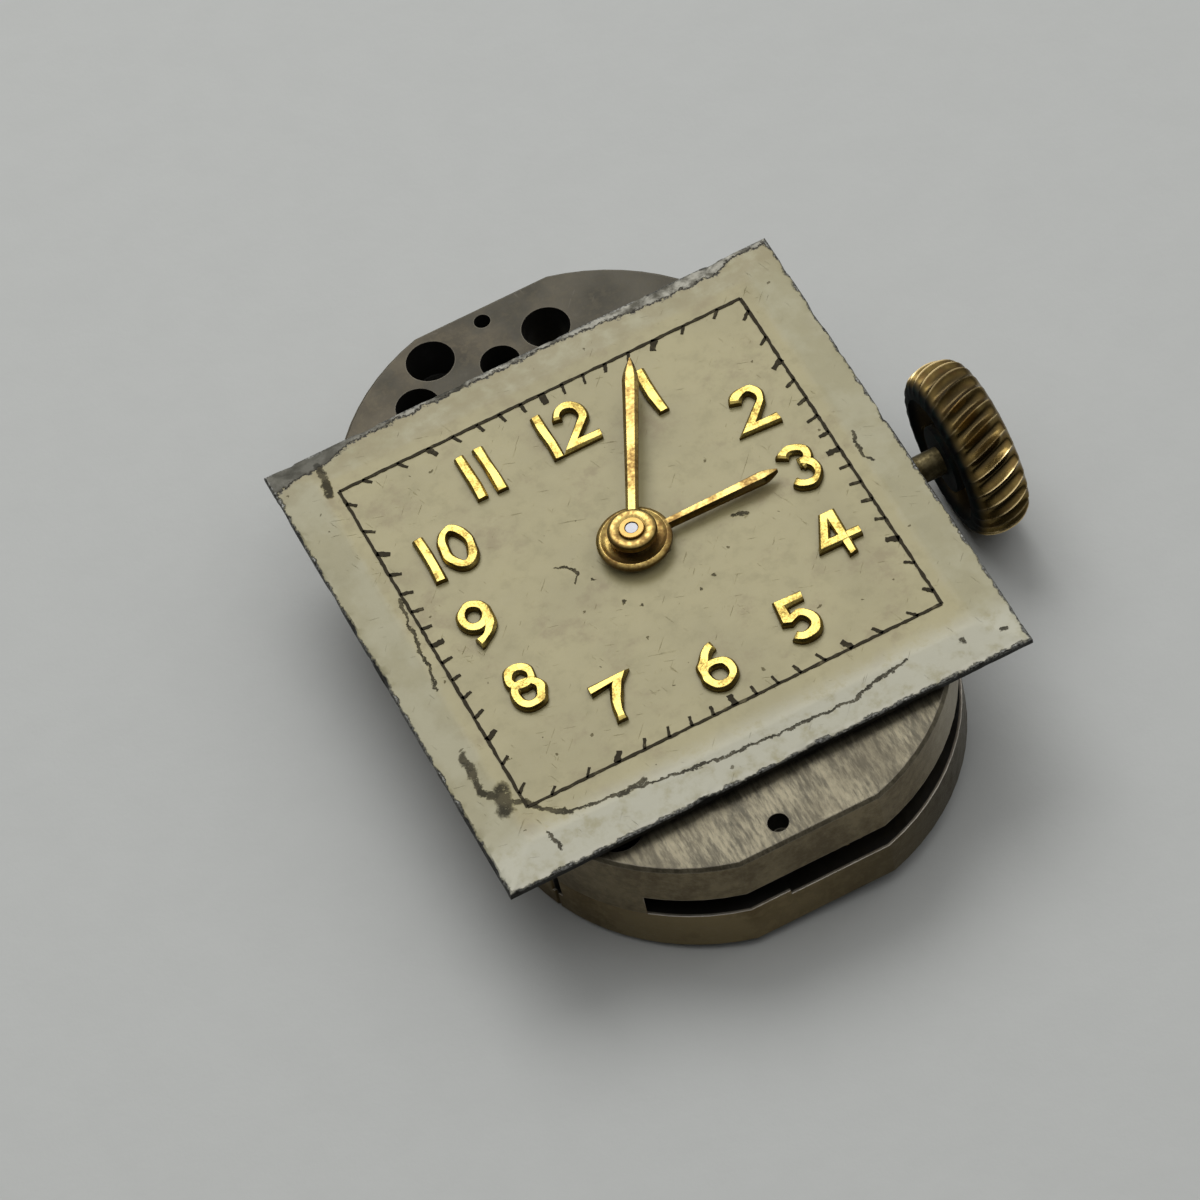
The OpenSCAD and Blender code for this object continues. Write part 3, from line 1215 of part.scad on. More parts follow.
cock_edge = balance_at + polar(2.6, 160);
cock_head_r = 0.34;
module balance_cock() color(silvered) difference() {
    union() {
        bridge_blank(cock_lv[0]) cock_2d();
        slab(cock_lv[0], cock_lv[1]) {
            link_2d(balance_at, cock_edge, 2.0);
            translate(balance_at) circle(r = 1.5);
        }
    }
    post(balance_at, cap_jewel_r, cock_lv[0] - eps, cock_lv[1] + eps);
    post(stud_at, stud_r + 0.01, 0, spring_lv[0]);
    bridge_screw_hole(cock_screw_at, cock_head_r);
    steady_pin_hole(steady_pins_at[4]);
}
module balance_cap_jewels() color(ruby) {
    difference() {
        post(balance_at, cap_jewel_r, 0.26, cock_lv[1]);
        post(balance_at, pivot_r + run_gap, 0.27, cock_lv[1] + eps);
    }
}
module regulator_index() color(steel) translate(balance_at) difference() {
    slab(index_lv[0], index_lv[1]) {
        circle(r = 0.62);
        rotate(65) translate([0, -0.08]) square([1.75, 0.16]);
        rotate(212) translate([0, -0.1]) square([1.2, 0.2]);
    }
    post([0, 0], cap_jewel_r + 0.06, 0, bridge_t);
}

main_plate();
dial();
hour_numerals();
hour_hand();
minute_hand();
cannon_pinion();
hour_wheel();
minute_wheel();
minute_wheel_post();
dial_washer();
setting_wheel();
clutch_wheel();
winding_pinion();
winding_stem();
crown();
setting_lever();
setting_lever_screw();
setting_lever_spring();
yoke();
yoke_spring();
dial_side_screws();
dial_foot_screws();
barrel_drum();
barrel_cover();
barrel_arbor();
mainspring();
ratchet_wheel();
ratchet_screw();
crown_wheel();
crown_wheel_core();
crown_wheel_screw();
click();
click_screw();
click_spring();
barrel_bridge();
train_bridge();
bridge_screws();
steady_pins();
centre_wheel();
third_wheel();
fourth_wheel();
escape_wheel();
pallet_lever();
pallet_stones();
pallet_cock();
pallet_cock_screw();
plate_jewels();
bridge_jewels();
balance_wheel();
balance_screws();
balance_staff();
roller();
impulse_jewel();
hairspring();
hairspring_stud();
balance_cock();
balance_cap_jewels();
regulator_index();
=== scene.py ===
import json
import math
import random

import bmesh
import bpy
from mathutils import Matrix, Vector, noise


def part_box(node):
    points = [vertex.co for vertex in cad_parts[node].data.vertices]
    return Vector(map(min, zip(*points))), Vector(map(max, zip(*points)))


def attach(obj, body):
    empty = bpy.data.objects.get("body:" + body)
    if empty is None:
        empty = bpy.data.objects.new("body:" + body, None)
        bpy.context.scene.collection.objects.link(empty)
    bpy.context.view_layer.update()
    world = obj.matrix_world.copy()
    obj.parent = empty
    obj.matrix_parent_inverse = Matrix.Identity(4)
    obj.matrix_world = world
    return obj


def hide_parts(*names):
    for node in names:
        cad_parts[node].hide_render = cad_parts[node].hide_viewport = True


bl_info = {
    "name": "Form Watch Movement",
    "version": (1, 0, 0),
    "blender": (4, 5, 0),
    "location": "View3D > Sidebar > Movement",
    "description": "Dresses a hand-wound watch movement: worn dial, gilt hour numerals and fluted crown",
    "category": "Object",
}

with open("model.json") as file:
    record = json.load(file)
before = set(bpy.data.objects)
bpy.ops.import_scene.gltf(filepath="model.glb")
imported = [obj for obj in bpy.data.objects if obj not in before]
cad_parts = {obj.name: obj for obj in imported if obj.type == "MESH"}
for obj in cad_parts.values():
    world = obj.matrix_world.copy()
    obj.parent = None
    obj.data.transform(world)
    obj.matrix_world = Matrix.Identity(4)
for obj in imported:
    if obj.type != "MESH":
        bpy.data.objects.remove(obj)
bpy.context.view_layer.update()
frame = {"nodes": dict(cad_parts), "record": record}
NODES = frame["nodes"]
MM = 0.001


def box_mm(node):
    """Lowest and highest corner of a CAD node in millimetres."""
    low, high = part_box(node)
    return low / MM, high / MM


DIAL_LOW, DIAL_HIGH = box_mm("dial")
DIAL_TOP = DIAL_HIGH.z
DIAL_HALF_X = (DIAL_HIGH.x - DIAL_LOW.x) / 2
DIAL_HALF_Y = (DIAL_HIGH.y - DIAL_LOW.y) / 2
DIAL_MIDDLE_Y = (DIAL_LOW.y + DIAL_HIGH.y) / 2
PLATE_LOW, PLATE_HIGH = box_mm("main_plate")
FACE_Z = PLATE_HIGH.z
PLATE_CORNER = (0.2, 3.35)  # Centre of the arcs that round the plate's ends
DIAL_FEET = [(PLATE_LOW.x + 0.73, -1.9), (PLATE_HIGH.x - 1.08, 3.9)]
DIAL_FOOT_RADIUS = 0.25
NUMERAL_TOP = box_mm("hour_numerals")[1].z
HOUR_LOW, HOUR_HIGH = box_mm("hour_hand")
MINUTE_LOW, MINUTE_HIGH = box_mm("minute_hand")
CROWN_LOW, CROWN_HIGH = box_mm("crown")
CROWN_MIDDLE = (CROWN_LOW.x + CROWN_HIGH.x) / 2
CROWN_HALF = (CROWN_HIGH.x - CROWN_LOW.x) / 2
CROWN_RADIUS = (CROWN_HIGH.z - CROWN_LOW.z) / 2
STEM_Z = (CROWN_LOW.z + CROWN_HIGH.z) / 2

# Centres of the applied numerals on the dial, in millimetres
NUMERALS = {
    12: (0.01, 3.67), 1: (2.11, 3.60), 2: (3.82, 1.96), 3: (4.01, -0.05), 4: (3.85, -2.10), 5: (2.14, -3.65),
    6: (0.05, -3.82), 7: (-2.17, -3.50), 8: (-3.70, -2.11), 9: (-3.86, -0.06), 10: (-3.64, 2.03),
    11: (-2.09, 3.56),
}

# Cracks, gouges and chips in the lacquer: the points of each and half its width, in millimetres
SCARS = [
    ([(-5.10, 5.90), (-5.19, 4.91)], 0.10),
    ([(-5.05, 1.49), (-5.26, -0.26), (-5.36, -1.11)], 0.04),
    ([(-5.62, -2.94), (-5.67, -3.96), (-5.35, -4.45)], 0.11),
    ([(-5.28, -4.20), (-5.42, -4.70)], 0.24),
    ([(-5.35, -4.45), (-4.95, -4.75), (-4.70, -5.10), (-4.25, -5.49)], 0.07),
    ([(-4.25, -5.49), (-3.57, -5.55), (-1.34, -5.88), (0.04, -5.98), (2.15, -6.08), (3.63, -5.78)], 0.04),
    ([(-3.15, -5.67), (-2.52, -5.60)], 0.08),
    ([(-4.88, -5.70), (-4.80, -6.14)], 0.05),
    ([(5.80, -6.13), (5.87, -6.11)], 0.07),
    ([(4.87, -5.95), (4.90, -5.97)], 0.07),
    ([(5.44, 0.23), (5.32, -0.44), (5.47, -0.63)], 0.05),
    ([(-1.80, 0.49), (-1.50, 0.27), (-1.42, 0.03), (-1.55, -0.14)], 0.03),
    ([(2.20, -0.37), (2.47, -0.51)], 0.07),
    ([(-1.18, -0.31), (-1.16, -0.33)], 0.05),
    ([(-0.86, -1.19), (-0.85, -1.21)], 0.04),
    ([(1.10, -1.58), (1.12, -1.60)], 0.05),
    ([(-0.61, -1.44), (-0.60, -1.45)], 0.035),
    ([(0.68, -1.78), (0.69, -1.80)], 0.035),
]

# Camera: its place in millimetres and the directions of its right, its top and its back
CAMERA_PLACE = Vector((-22.84, -88.37, 125.08))
CAMERA_RIGHT = Vector((0.89, -0.43, -0.1518))
CAMERA_UP = Vector((0.4333, 0.6935, 0.5757))
CAMERA_BACK = Vector((-0.1423, -0.5781, 0.8035))

# The part rests on the left edge of its back and on its crown, so the floor falls towards the crown
FLOOR_HALF = 350.0
FLOOR_CELLS = 24
FLOOR_FALL = 0.0506
FLOOR_LEVEL_X = PLATE_LOW.x

# Lamp: the point it aims at, its width and how far it hangs from that point, in millimetres
LAMP_AIM = Vector((0.0, 0.0, 3.0))
LAMP_WIDTH = 140.0
LAMP_FAR = 200.0


# Settings


def number(title, text, default, low=0.0, high=60.0):
    """Setting for a size or another plain number."""
    return bpy.props.FloatProperty(name=title, description=text, default=default, min=low, max=high)


def turn(title, text, degrees):
    """Setting for an angle."""
    return bpy.props.FloatProperty(
        name=title, description=text, default=math.radians(degrees), subtype="ANGLE")


def tint(title, text, default):
    """Setting for a colour."""
    return bpy.props.FloatVectorProperty(
        name=title, description=text, default=default, size=3, min=0.0, max=1.0, subtype="COLOR")


class DialSettings(bpy.types.PropertyGroup):
    """Sizes of the dial, its track and its numerals, in millimetres."""

    border: number("Border", "Width of the sloping border", 0.95)
    edge: number("Edge", "Thickness of the dial at its outer edge", 0.2)
    slope: number("Slope", "Fall of the border from the flat to the edge", 0.16)
    hole: number("Hole", "Radius of the centre hole", 0.55)
    track_x: number("Track half width", "Half width of the minute track", 4.98)
    track_y: number("Track half height", "Half height of the minute track", 4.89)
    track_line: number("Track line", "Thickness of the track's line", 0.072)
    tick: number("Tick", "Length of a minute tick", 0.27)
    numeral_height: number("Numeral height", "Height of an hour numeral", 1.32)
    numeral_width: number("Numeral width", "Width of a single figure", 0.86)
    numeral_stroke: number("Numeral stroke", "Width of a numeral's stroke", 0.27)


class HandSettings(bpy.types.PropertyGroup):
    """Sizes of the hands in millimetres and where they point."""

    minute_length: number("Minute hand", "Length of the minute hand", 4.75)
    minute_angle: turn("Minute angle", "Angle of the minute hand clockwise from twelve", 25.2)
    minute_width: number("Minute width", "Greatest width of the minute hand", 0.37)
    hour_length: number("Hour hand", "Length of the hour hand", 3.5)
    hour_angle: turn("Hour angle", "Angle of the hour hand clockwise from twelve", 90.0)
    hour_width: number("Hour width", "Greatest width of the hour hand", 0.34)


class CrownSettings(bpy.types.PropertyGroup):
    """Sizes of the crown in millimetres and the shape of its rim."""

    flutes: bpy.props.IntProperty(
        name="Flutes", description="Flutes round the crown", default=30, min=12, max=60)
    depth: number("Flute depth", "Depth of a flute", 0.19)
    slant: turn("Slant", "Slant of the flutes", 20.0)
    rounding: number("Rounding", "Fall of the rim from its middle to its ends", 0.56)
    fullness: number("Fullness", "Below 1 the rim is fuller, above 1 it is more pointed", 0.74)


class FinishSettings(bpy.types.PropertyGroup):
    """Colours of the lacquer and the metals."""

    cream: tint("Cream", "Lacquer of the dial's flat", (0.385, 0.34, 0.178))
    # Painted sheen: this paler, greener tone of the border stands in for the light on its slope
    border: tint("Border", "Worn lacquer of the border", (0.42, 0.395, 0.265))
    ink: tint("Ink", "Ink of the minute track", (0.030, 0.024, 0.012))
    gold: tint("Gold", "Gold of the numerals", (0.56, 0.43, 0.12))
    hands: tint("Hands", "Gold of the hands", (0.55, 0.405, 0.13))
    plate: tint("Plate", "Worn plating of the main plate", (0.17, 0.15, 0.10))
    tarnish: tint("Tarnish", "Tarnish on the plate", (0.045, 0.036, 0.020))
    crown: tint("Crown", "Brass of the crown", (0.19, 0.13, 0.042))


class StageSettings(bpy.types.PropertyGroup):
    """Floor, lamp and camera."""

    floor: tint("Floor", "Colour of the floor", (0.50, 0.51, 0.495))
    key: number("Key lamp", "Power of the lamp in watts", 0.17)
    sky: number("Sky", "Strength of the surroundings", 1.02)
    lens: number("Lens", "Focal length of the camera", 210.0, 10.0, 500.0)


SETTINGS = {
    "movement_dial": DialSettings,
    "movement_hands": HandSettings,
    "movement_crown": CrownSettings,
    "movement_finish": FinishSettings,
    "movement_stage": StageSettings,
}


# Mesh tools


class Shape:
    """Points in millimetres and faces, collected from several closed forms."""

    def __init__(self):
        self.verts = []
        self.faces = []

    def grid(self, rows, closed_rows=False, closed_columns=True, caps=False):
        """Faces between rows of points, each row closed on itself when closed_columns is set."""
        start = len(self.verts)
        count = len(rows[0])
        for row in rows:
            self.verts.extend(row)
        steps = len(rows) if closed_rows else len(rows) - 1
        across = count if closed_columns else count - 1
        for i in range(steps):
            here = start + i * count
            there = start + ((i + 1) % len(rows)) * count
            for j in range(across):
                k = (j + 1) % count
                self.faces.append((here + j, here + k, there + k, there + j))
        if caps:
            self.faces.append(tuple(range(start + count - 1, start - 1, -1)))
            last = start + (len(rows) - 1) * count
            self.faces.append(tuple(range(last, last + count)))

    def mesh(self, name):
        """Mesh of the collected forms, in metres."""
        mesh = bpy.data.meshes.new(name)
        mesh.from_pydata([(x * MM, y * MM, z * MM) for x, y, z in self.verts], [], self.faces)
        return mesh


def coat(piece, finish):
    """Gives a piece one finish in place of what it had."""
    piece.data.materials.clear()
    piece.data.materials.append(FINISHES[finish])


def make_piece(name, shape, body, finish, replaces=(), smooth=40.0):
    """Makes a piece that rides on a body, smooth where its faces meet below the given angle."""
    mesh = shape.mesh(name)
    mesh.validate()
    tidy = bmesh.new()
    tidy.from_mesh(mesh)
    bmesh.ops.remove_doubles(tidy, verts=tidy.verts, dist=1e-8)
    bmesh.ops.recalc_face_normals(tidy, faces=tidy.faces)
    tidy.to_mesh(mesh)
    tidy.free()
    mesh.shade_smooth()
    mesh.set_sharp_from_angle(angle=math.radians(smooth))
    piece = bpy.data.objects.new(name, mesh)
    bpy.context.scene.collection.objects.link(piece)
    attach(piece, body)
    if replaces:
        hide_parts(*replaces)
    coat(piece, finish)


def turned(profile, steps, centre=(0.0, 0.0)):
    """Rows of a body turned about a vertical axis from (radius, height) points."""
    rows = []
    for radius, z in profile:
        angles = [math.tau * j / steps for j in range(steps)]
        rows.append([(centre[0] + radius * math.cos(a), centre[1] + radius * math.sin(a), z) for a in angles])
    return rows


def ellipse_arc(cx, cy, rx, ry, start, end, steps=18):
    """Points along an ellipse from one angle to another, in degrees."""
    angles = [math.radians(start + (end - start) * i / steps) for i in range(steps + 1)]
    return [(cx + rx * math.cos(a), cy + ry * math.sin(a)) for a in angles]


def rectangle_ring(half_x, half_y, middle_y, per_side):
    """Points round a rectangle, anticlockwise from its lower right corner, corners included."""
    corners = [(half_x, -half_y), (half_x, half_y), (-half_x, half_y), (-half_x, -half_y)]
    ring = []
    for i, (x0, y0) in enumerate(corners):
        x1, y1 = corners[(i + 1) % 4]
        for j in range(per_side):
            t = j / per_side
            ring.append((x0 + (x1 - x0) * t, y0 + (y1 - y0) * t + middle_y))
    return ring


# Sections of a numeral's bar and a hand's blade, as shares of their width or half width and their height
BAR_SECTION = [(-0.5, 0.0), (-0.5, 0.6), (-0.31, 1.0), (0.31, 1.0), (0.5, 0.6), (0.5, 0.0)]
BLADE_SECTION = [(-1.0, 0.0), (-1.0, 0.45), (-0.55, 1.0), (0.55, 1.0), (1.0, 0.45), (1.0, 0.0)]


def bar_rows(path, closed, width, height, base, centre, jitter):
    """Rows of a bar with a flat top and bevelled sides that follows a flat path.

    The bar waves a little sideways and has shallow dents in its top, as if cut by hand; jitter shifts them.
    """
    count = len(path)
    rows = []
    for i, point in enumerate(path):
        before = path[(i - 1) % count] if closed or i else point
        after = path[(i + 1) % count] if closed or i < count - 1 else point
        into = Vector((point[0] - before[0], point[1] - before[1]))
        out = Vector((after[0] - point[0], after[1] - point[1]))
        into = into.normalized() if into.length else out.normalized()
        out = out.normalized() if out.length else into
        along = (into + out).normalized()
        # The section widens at a bend, so that the bar keeps its width on both sides of it
        stretch = 1.0 / max(0.45, math.sqrt((1.0 + into.dot(out)) / 2))
        side = Vector((along.y, -along.x))
        end = not closed and i in (0, count - 1)
        row = []
        for across, up in BAR_SECTION:
            x = point[0] + side.x * across * width * stretch
            y = point[1] + side.y * across * width * stretch
            wave = noise.noise(Vector((x * 3.1 + jitter, y * 3.1, jitter))) * 0.05
            dent = abs(noise.noise(Vector((x * 2.6, y * 2.6, jitter + 5.0))) * 0.22)
            share = 0.84 if end and up == 1.0 else 1.0
            row.append((centre[0] + x + wave, centre[1] + y - wave, base + up * (share - dent) * height))
        rows.append(row)
    return rows


# Shader tools


class Net:
    """Adds nodes to a tree and joins them as they are made."""

    def __init__(self, tree):
        self.tree = tree

    def add(self, kind, sockets=None, **fields):
        """Adds a node; a socket is given a link or a constant."""
        node = self.tree.nodes.new(kind)
        for field, value in fields.items():
            setattr(node, field, value)
        for key, value in (sockets or {}).items():
            if isinstance(value, bpy.types.NodeSocket):
                self.tree.links.new(value, node.inputs[key])
            else:
                node.inputs[key].default_value = value
        return node

    def group(self, name, **sockets):
        """Adds one of the shared effects and gives its outputs."""
        return self.add("ShaderNodeGroup", sockets, node_tree=EFFECTS[name]).outputs

    def math(self, operation, a, b=0.0, c=0.0, clamp=False):
        sockets = {0: a, 1: b, 2: c}
        return self.add("ShaderNodeMath", sockets, operation=operation, use_clamp=clamp).outputs[0]

    def times(self, a, b, clamp=False):
        return self.math("MULTIPLY", a, b, clamp=clamp)

    def plus(self, a, b):
        return self.math("ADD", a, b)

    def minus(self, a, b, clamp=False):
        return self.math("SUBTRACT", a, b, clamp=clamp)

    def scaled(self, value, factor, base, clamp=False):
        """The value times the factor, plus the base."""
        return self.math("MULTIPLY_ADD", value, factor, base, clamp)

    def most(self, a, b):
        return self.math("MAXIMUM", a, b)

    def least(self, a, b):
        return self.math("MINIMUM", a, b)

    def size(self, value):
        return self.math("ABSOLUTE", value)

    def step(self, value, low, high):
        """0 below low, 1 above high, smooth between."""
        sockets = {0: value, 1: low, 2: high}
        return self.add("ShaderNodeMapRange", sockets, interpolation_type="SMOOTHSTEP").outputs[0]

    def vector(self, operation, a, b, c=(0.0, 0.0, 0.0)):
        return self.add("ShaderNodeVectorMath", {0: a, 1: b, 2: c}, operation=operation).outputs[0]

    def longer(self, a, factor):
        """A vector made longer by a factor."""
        return self.add("ShaderNodeVectorMath", {0: a, 3: factor}, operation="SCALE").outputs[0]

    def measure(self, operation, a, b=(0.0, 0.0, 0.0)):
        """Single number of two vectors: their dot product or distance, or the length of the first."""
        return self.add("ShaderNodeVectorMath", {0: a, 1: b}, operation=operation).outputs["Value"]

    def split(self, place):
        """The x, y and z of a vector."""
        return self.add("ShaderNodeSeparateXYZ", {0: place}).outputs[:3]

    def noise(self, place, scale, detail, rough):
        sockets = {"Vector": place, "Scale": scale, "Detail": detail, "Roughness": rough}
        return self.add("ShaderNodeTexNoise", sockets).outputs[0]

    def place(self):
        """Coordinates on the piece in millimetres."""
        return self.longer(self.add("ShaderNodeTexCoord").outputs["Object"], 1.0 / MM)

    def steep(self, flat, upright):
        """1 on faces that stand upright, 0 on level ones, from the height part of the normal."""
        normal = self.add("ShaderNodeNewGeometry").outputs["Normal"]
        return self.step(self.size(self.split(normal)[2]), flat, upright)

    def mix(self, factor, a, b):
        """The first colour where the factor is 0, the second where it is 1."""
        a, b = [tone if isinstance(tone, bpy.types.NodeSocket) else (*tone, 1.0) for tone in (a, b)]
        return self.add("ShaderNodeMix", {0: factor, 6: a, 7: b}, data_type="RGBA").outputs[2]

    def lay(self, ground, *coats):
        """Lays coats of (tone, mask) or (tone, mask, share) over a ground, each where its mask is 1."""
        for tone, mask, *share in coats:
            ground = self.mix(self.times(mask, share[0]) if share else mask, ground, tone)
        return ground


# Shared effects


EFFECTS = {}
RECIPES = {}


def effect(**inputs):
    """Marks a function as the recipe of a shared effect with these inputs.

    An input with a number is a float and any other a vector. The recipe takes a net and the effect's
    inputs, and gives its outputs by title.
    """
    def keep(recipe):
        RECIPES[recipe.__name__] = (inputs, recipe)
        return recipe
    return keep


@effect(Place=None, Scale=0.6, Cover=0.4)
def tarnish(net, enter):
    """Patches of tarnish that cover more of the metal as Cover rises, and a fine mottle."""
    broad = net.noise(enter["Place"], enter["Scale"], 5.0, 0.62)
    fine = net.noise(enter["Place"], net.times(enter["Scale"], 8.0), 4.0, 0.6)
    level = net.plus(net.times(broad, 0.74), net.times(fine, 0.26))
    need = net.minus(0.76, net.times(enter["Cover"], 0.52))
    return {"Mask": net.scaled(net.minus(level, need), 5.5, 0.5, clamp=True), "Mottle": fine}


@effect(Place=None, Stretch=(16.0, 0.7, 16.0))
def brush(net, enter):
    """Fine brushed lines and broad streaks, long in the direction with the least stretch."""
    stretched = net.vector("MULTIPLY", enter["Place"], enter["Stretch"])
    return {"Line": net.noise(stretched, 1.6, 5.0, 0.72), "Streak": net.noise(stretched, 0.35, 3.0, 0.6)}


@effect(Radius=0.00004, Spread=6.0)
def edges(net, enter):
    """Rubbed edges, where the rounded normal and the flat one differ."""
    rounded = net.add("ShaderNodeBevel", {"Radius": enter["Radius"]}, samples=6).outputs[0]
    flat = net.add("ShaderNodeNewGeometry").outputs["Normal"]
    bend = net.minus(1.0, net.measure("DOT_PRODUCT", rounded, flat))
    return {"Mask": net.times(bend, enter["Spread"], clamp=True), "Normal": rounded}


@effect(Place=None, Density=0.5)
def scratches(net, enter):
    """Fine scratches in three directions, each in patches of its own."""
    total = None
    for angle, seed in ((0.35, 2.0), (1.25, 7.0), (2.3, 13.0)):
        rolled = net.add("ShaderNodeVectorRotate", {"Vector": enter["Place"], "Angle": angle},
                         rotation_type="Z_AXIS").outputs[0]
        moved = net.vector("ADD", rolled, (seed, seed * 1.7, 0.0))
        line = net.noise(net.vector("MULTIPLY", moved, (0.9, 14.0, 3.0)), 1.0, 3.0, 0.55)
        patch = net.noise(moved, 0.9, 2.0, 0.5)
        mask = net.times(net.step(line, 0.69, 0.73), net.step(patch, 0.45, 0.62))
        total = mask if total is None else net.most(total, mask)
    return {"Mask": net.times(total, enter["Density"], clamp=True)}


@effect(Place=None, Scale=2.0, Share=0.2)
def specks(net, enter):
    """Small round specks of several sizes in a share of the cells."""
    sockets = {"Vector": enter["Place"], "Scale": enter["Scale"]}
    cells = net.add("ShaderNodeTexVoronoi", sockets, feature="F1")
    pick = net.split(cells.outputs["Color"])
    spot = net.math("LESS_THAN", cells.outputs["Distance"], net.scaled(pick[1], 0.10, 0.03))
    return {"Mask": net.times(spot, net.math("LESS_THAN", pick[0], enter["Share"]))}


@effect(Place=None, Start=None, Way=None, Length=1.0, Reach=0.05)
def scar(net, enter):
    """One straight length of a crack, from its start along its way, as far as its reach to both sides."""
    away = net.vector("MULTIPLY", net.vector("SUBTRACT", enter["Place"], enter["Start"]), (1.0, 1.0, 0.0))
    run = net.least(net.most(net.measure("DOT_PRODUCT", away, enter["Way"]), 0.0), enter["Length"])
    far = net.measure("DISTANCE", away, net.longer(enter["Way"], run))
    return {"Mask": net.step(far, enter["Reach"], net.times(enter["Reach"], 0.5))}


@effect(Place=None)
def hollows(net, enter):
    """Mask is 1 inside the openings of the plate's ends, where painted shade goes, and Wall is 1 on the outer
    wall.
    """
    x, y, z = net.split(enter["Place"])
    along = net.size(y)
    spot = net.add("ShaderNodeCombineXYZ", {0: net.size(x), 1: net.most(along, PLATE_CORNER[1])}).outputs[0]
    from_corner = net.measure("DISTANCE", spot, (*PLATE_CORNER, 0.0))
    from_arc = net.minus(PLATE_HIGH.x - PLATE_CORNER[0], from_corner)
    inside = net.step(net.least(from_arc, net.minus(PLATE_HIGH.y, along)), 0.04, 0.08)
    upright = net.steep(0.8, 0.4)
    deep = net.step(z, FACE_Z - 0.5, FACE_Z - 0.7)
    open_side = net.times(inside, net.most(upright, deep))
    return {"Mask": net.times(net.step(along, 4.6, 4.9), open_side),
            "Wall": net.times(upright, net.minus(1.0, inside))}


def build_effects():
    """Builds a node group from each recipe."""
    for name, (inputs, recipe) in RECIPES.items():
        tree = bpy.data.node_groups.new(name, "ShaderNodeTree")
        for title, default in inputs.items():
            kind = "NodeSocketFloat" if isinstance(default, float) else "NodeSocketVector"
            socket = tree.interface.new_socket(title, in_out="INPUT", socket_type=kind)
            if default is not None:
                socket.default_value = default
        net = Net(tree)
        values = recipe(net, net.add("NodeGroupInput").outputs)
        for title, value in values.items():
            kind = "NodeSocketVector" if value.type == "VECTOR" else "NodeSocketFloat"
            tree.interface.new_socket(title, in_out="OUTPUT", socket_type=kind)
        net.add("NodeGroupOutput", values)
        EFFECTS[name] = tree


# Finishes


FINISHES = {}

# Tones of the lacquer's wear, with a painted highlight line and the painted shade of the dial's side
STAIN = (0.27, 0.215, 0.115)
PALE_BAND = (0.54, 0.53, 0.43)
BROWN_BAND = (0.30, 0.25, 0.14)
# Painted highlight along the dial's lower edge
EDGE_HIGHLIGHT_LINE = (0.57, 0.55, 0.45)
CRACK_DARK = (0.014, 0.011, 0.006)
CRACK_LIGHT = (0.075, 0.064, 0.038)
PIT = (0.085, 0.07, 0.035)
STRIP_DARK = (0.075, 0.07, 0.052)
STRIP_LIGHT = (0.30, 0.29, 0.245)
STRIP_WEDGE = (0.055, 0.053, 0.042)
STRIP_LINE = (0.05, 0.045, 0.035)
EDGE_DARK = (0.045, 0.043, 0.037)
EDGE_LIGHT = (0.22, 0.22, 0.2)
# Painted shade on the dial's side face below its edge, nearly black
DIAL_SIDE_SHADE = (0.018, 0.017, 0.014)
FADED_INK = (0.13, 0.11, 0.06)
GREY_INK = (0.05, 0.042, 0.022)

# Tones of the plate and the bridges
# Painted shade: near black inside the openings of the plate and the bridges
OPENING_SHADE = (0.008, 0.007, 0.005)
GREY_STAIN = (0.10, 0.085, 0.055)
BROWN_PLATE = (0.070, 0.056, 0.031)
BROWN_FLECK = (0.115, 0.094, 0.055)
PLATE_SHADOW = (0.034, 0.033, 0.022)
PLATE_WALL = (0.225, 0.18, 0.10)
PLATE_WALL_STAIN = (0.13, 0.098, 0.05)
PLATE_WALL_CLEAN = (0.46, 0.41, 0.31)
PLATE_RUBBED = (0.50, 0.45, 0.36)
PLATE_SCRATCH = (0.34, 0.31, 0.26)
SILVER = (0.60, 0.54, 0.44)
SILVER_STAIN = (0.36, 0.28, 0.19)
SILVER_STREAK = (0.80, 0.75, 0.66)
SILVER_RUBBED = (0.82, 0.78, 0.70)
BRIDGE_WALL = (0.26, 0.20, 0.10)
BRIDGE_WALL_STAIN = (0.13, 0.09, 0.038)
BRIDGE_WALL_FLECK = (0.34, 0.27, 0.16)
# Painted shade on the bridges' outer wall towards three o'clock
BRIDGE_WALL_SHADE = (0.05, 0.042, 0.026)
BRIDGE_SCRATCH = (0.50, 0.45, 0.34)

# Tones of the crown
CROWN_RUST = (0.22, 0.11, 0.045)
# Painted shade in the crown's flutes
FLUTE_SHADE = (0.022, 0.016, 0.008)
# Wear on the crown's crests, brightened as a painted highlight
CREST_WEAR_AND_HIGHLIGHT = (0.86, 0.66, 0.33)
CROWN_SCRATCH = (0.55, 0.42, 0.2)
# Painted shade on the crown's inner side, black with dark green patches
INNER_SHADE = (0.002, 0.002, 0.002)
INNER_GREEN = (0.003, 0.010, 0.009)


def shade(color, factor):
    """A colour made darker or lighter."""
    return tuple(min(1.0, c * factor) for c in color)


class Surface(Net):
    """Net of a new material with its Principled shader."""

    def __init__(self, name):
        self.material = bpy.data.materials.new(name)
        self.material.use_nodes = True
        super().__init__(self.material.node_tree)
        self.shader = self.tree.nodes["Principled BSDF"]

    def join(self, color, roughness, height, depth, metallic=0.0, normal=None, **others):
        """Joins a look to the shader; depth is the bump's height in millimetres.

        others are the shader's further inputs by title, with _ for a space.
        """
        bump = {"Height": height, "Distance": depth * MM, "Strength": 1.0}
        if normal is not None:
            bump["Normal"] = normal
        looks = {"Base Color": color, "Roughness": roughness, "Metallic": metallic,
                 "Normal": self.add("ShaderNodeBump", bump).outputs[0]}
        looks.update((title.replace("_", " "), value) for title, value in others.items())
        for title, value in looks.items():
            if isinstance(value, bpy.types.NodeSocket):
                self.tree.links.new(value, self.shader.inputs[title])
            else:
                self.shader.inputs[title].default_value = value
        return self.material


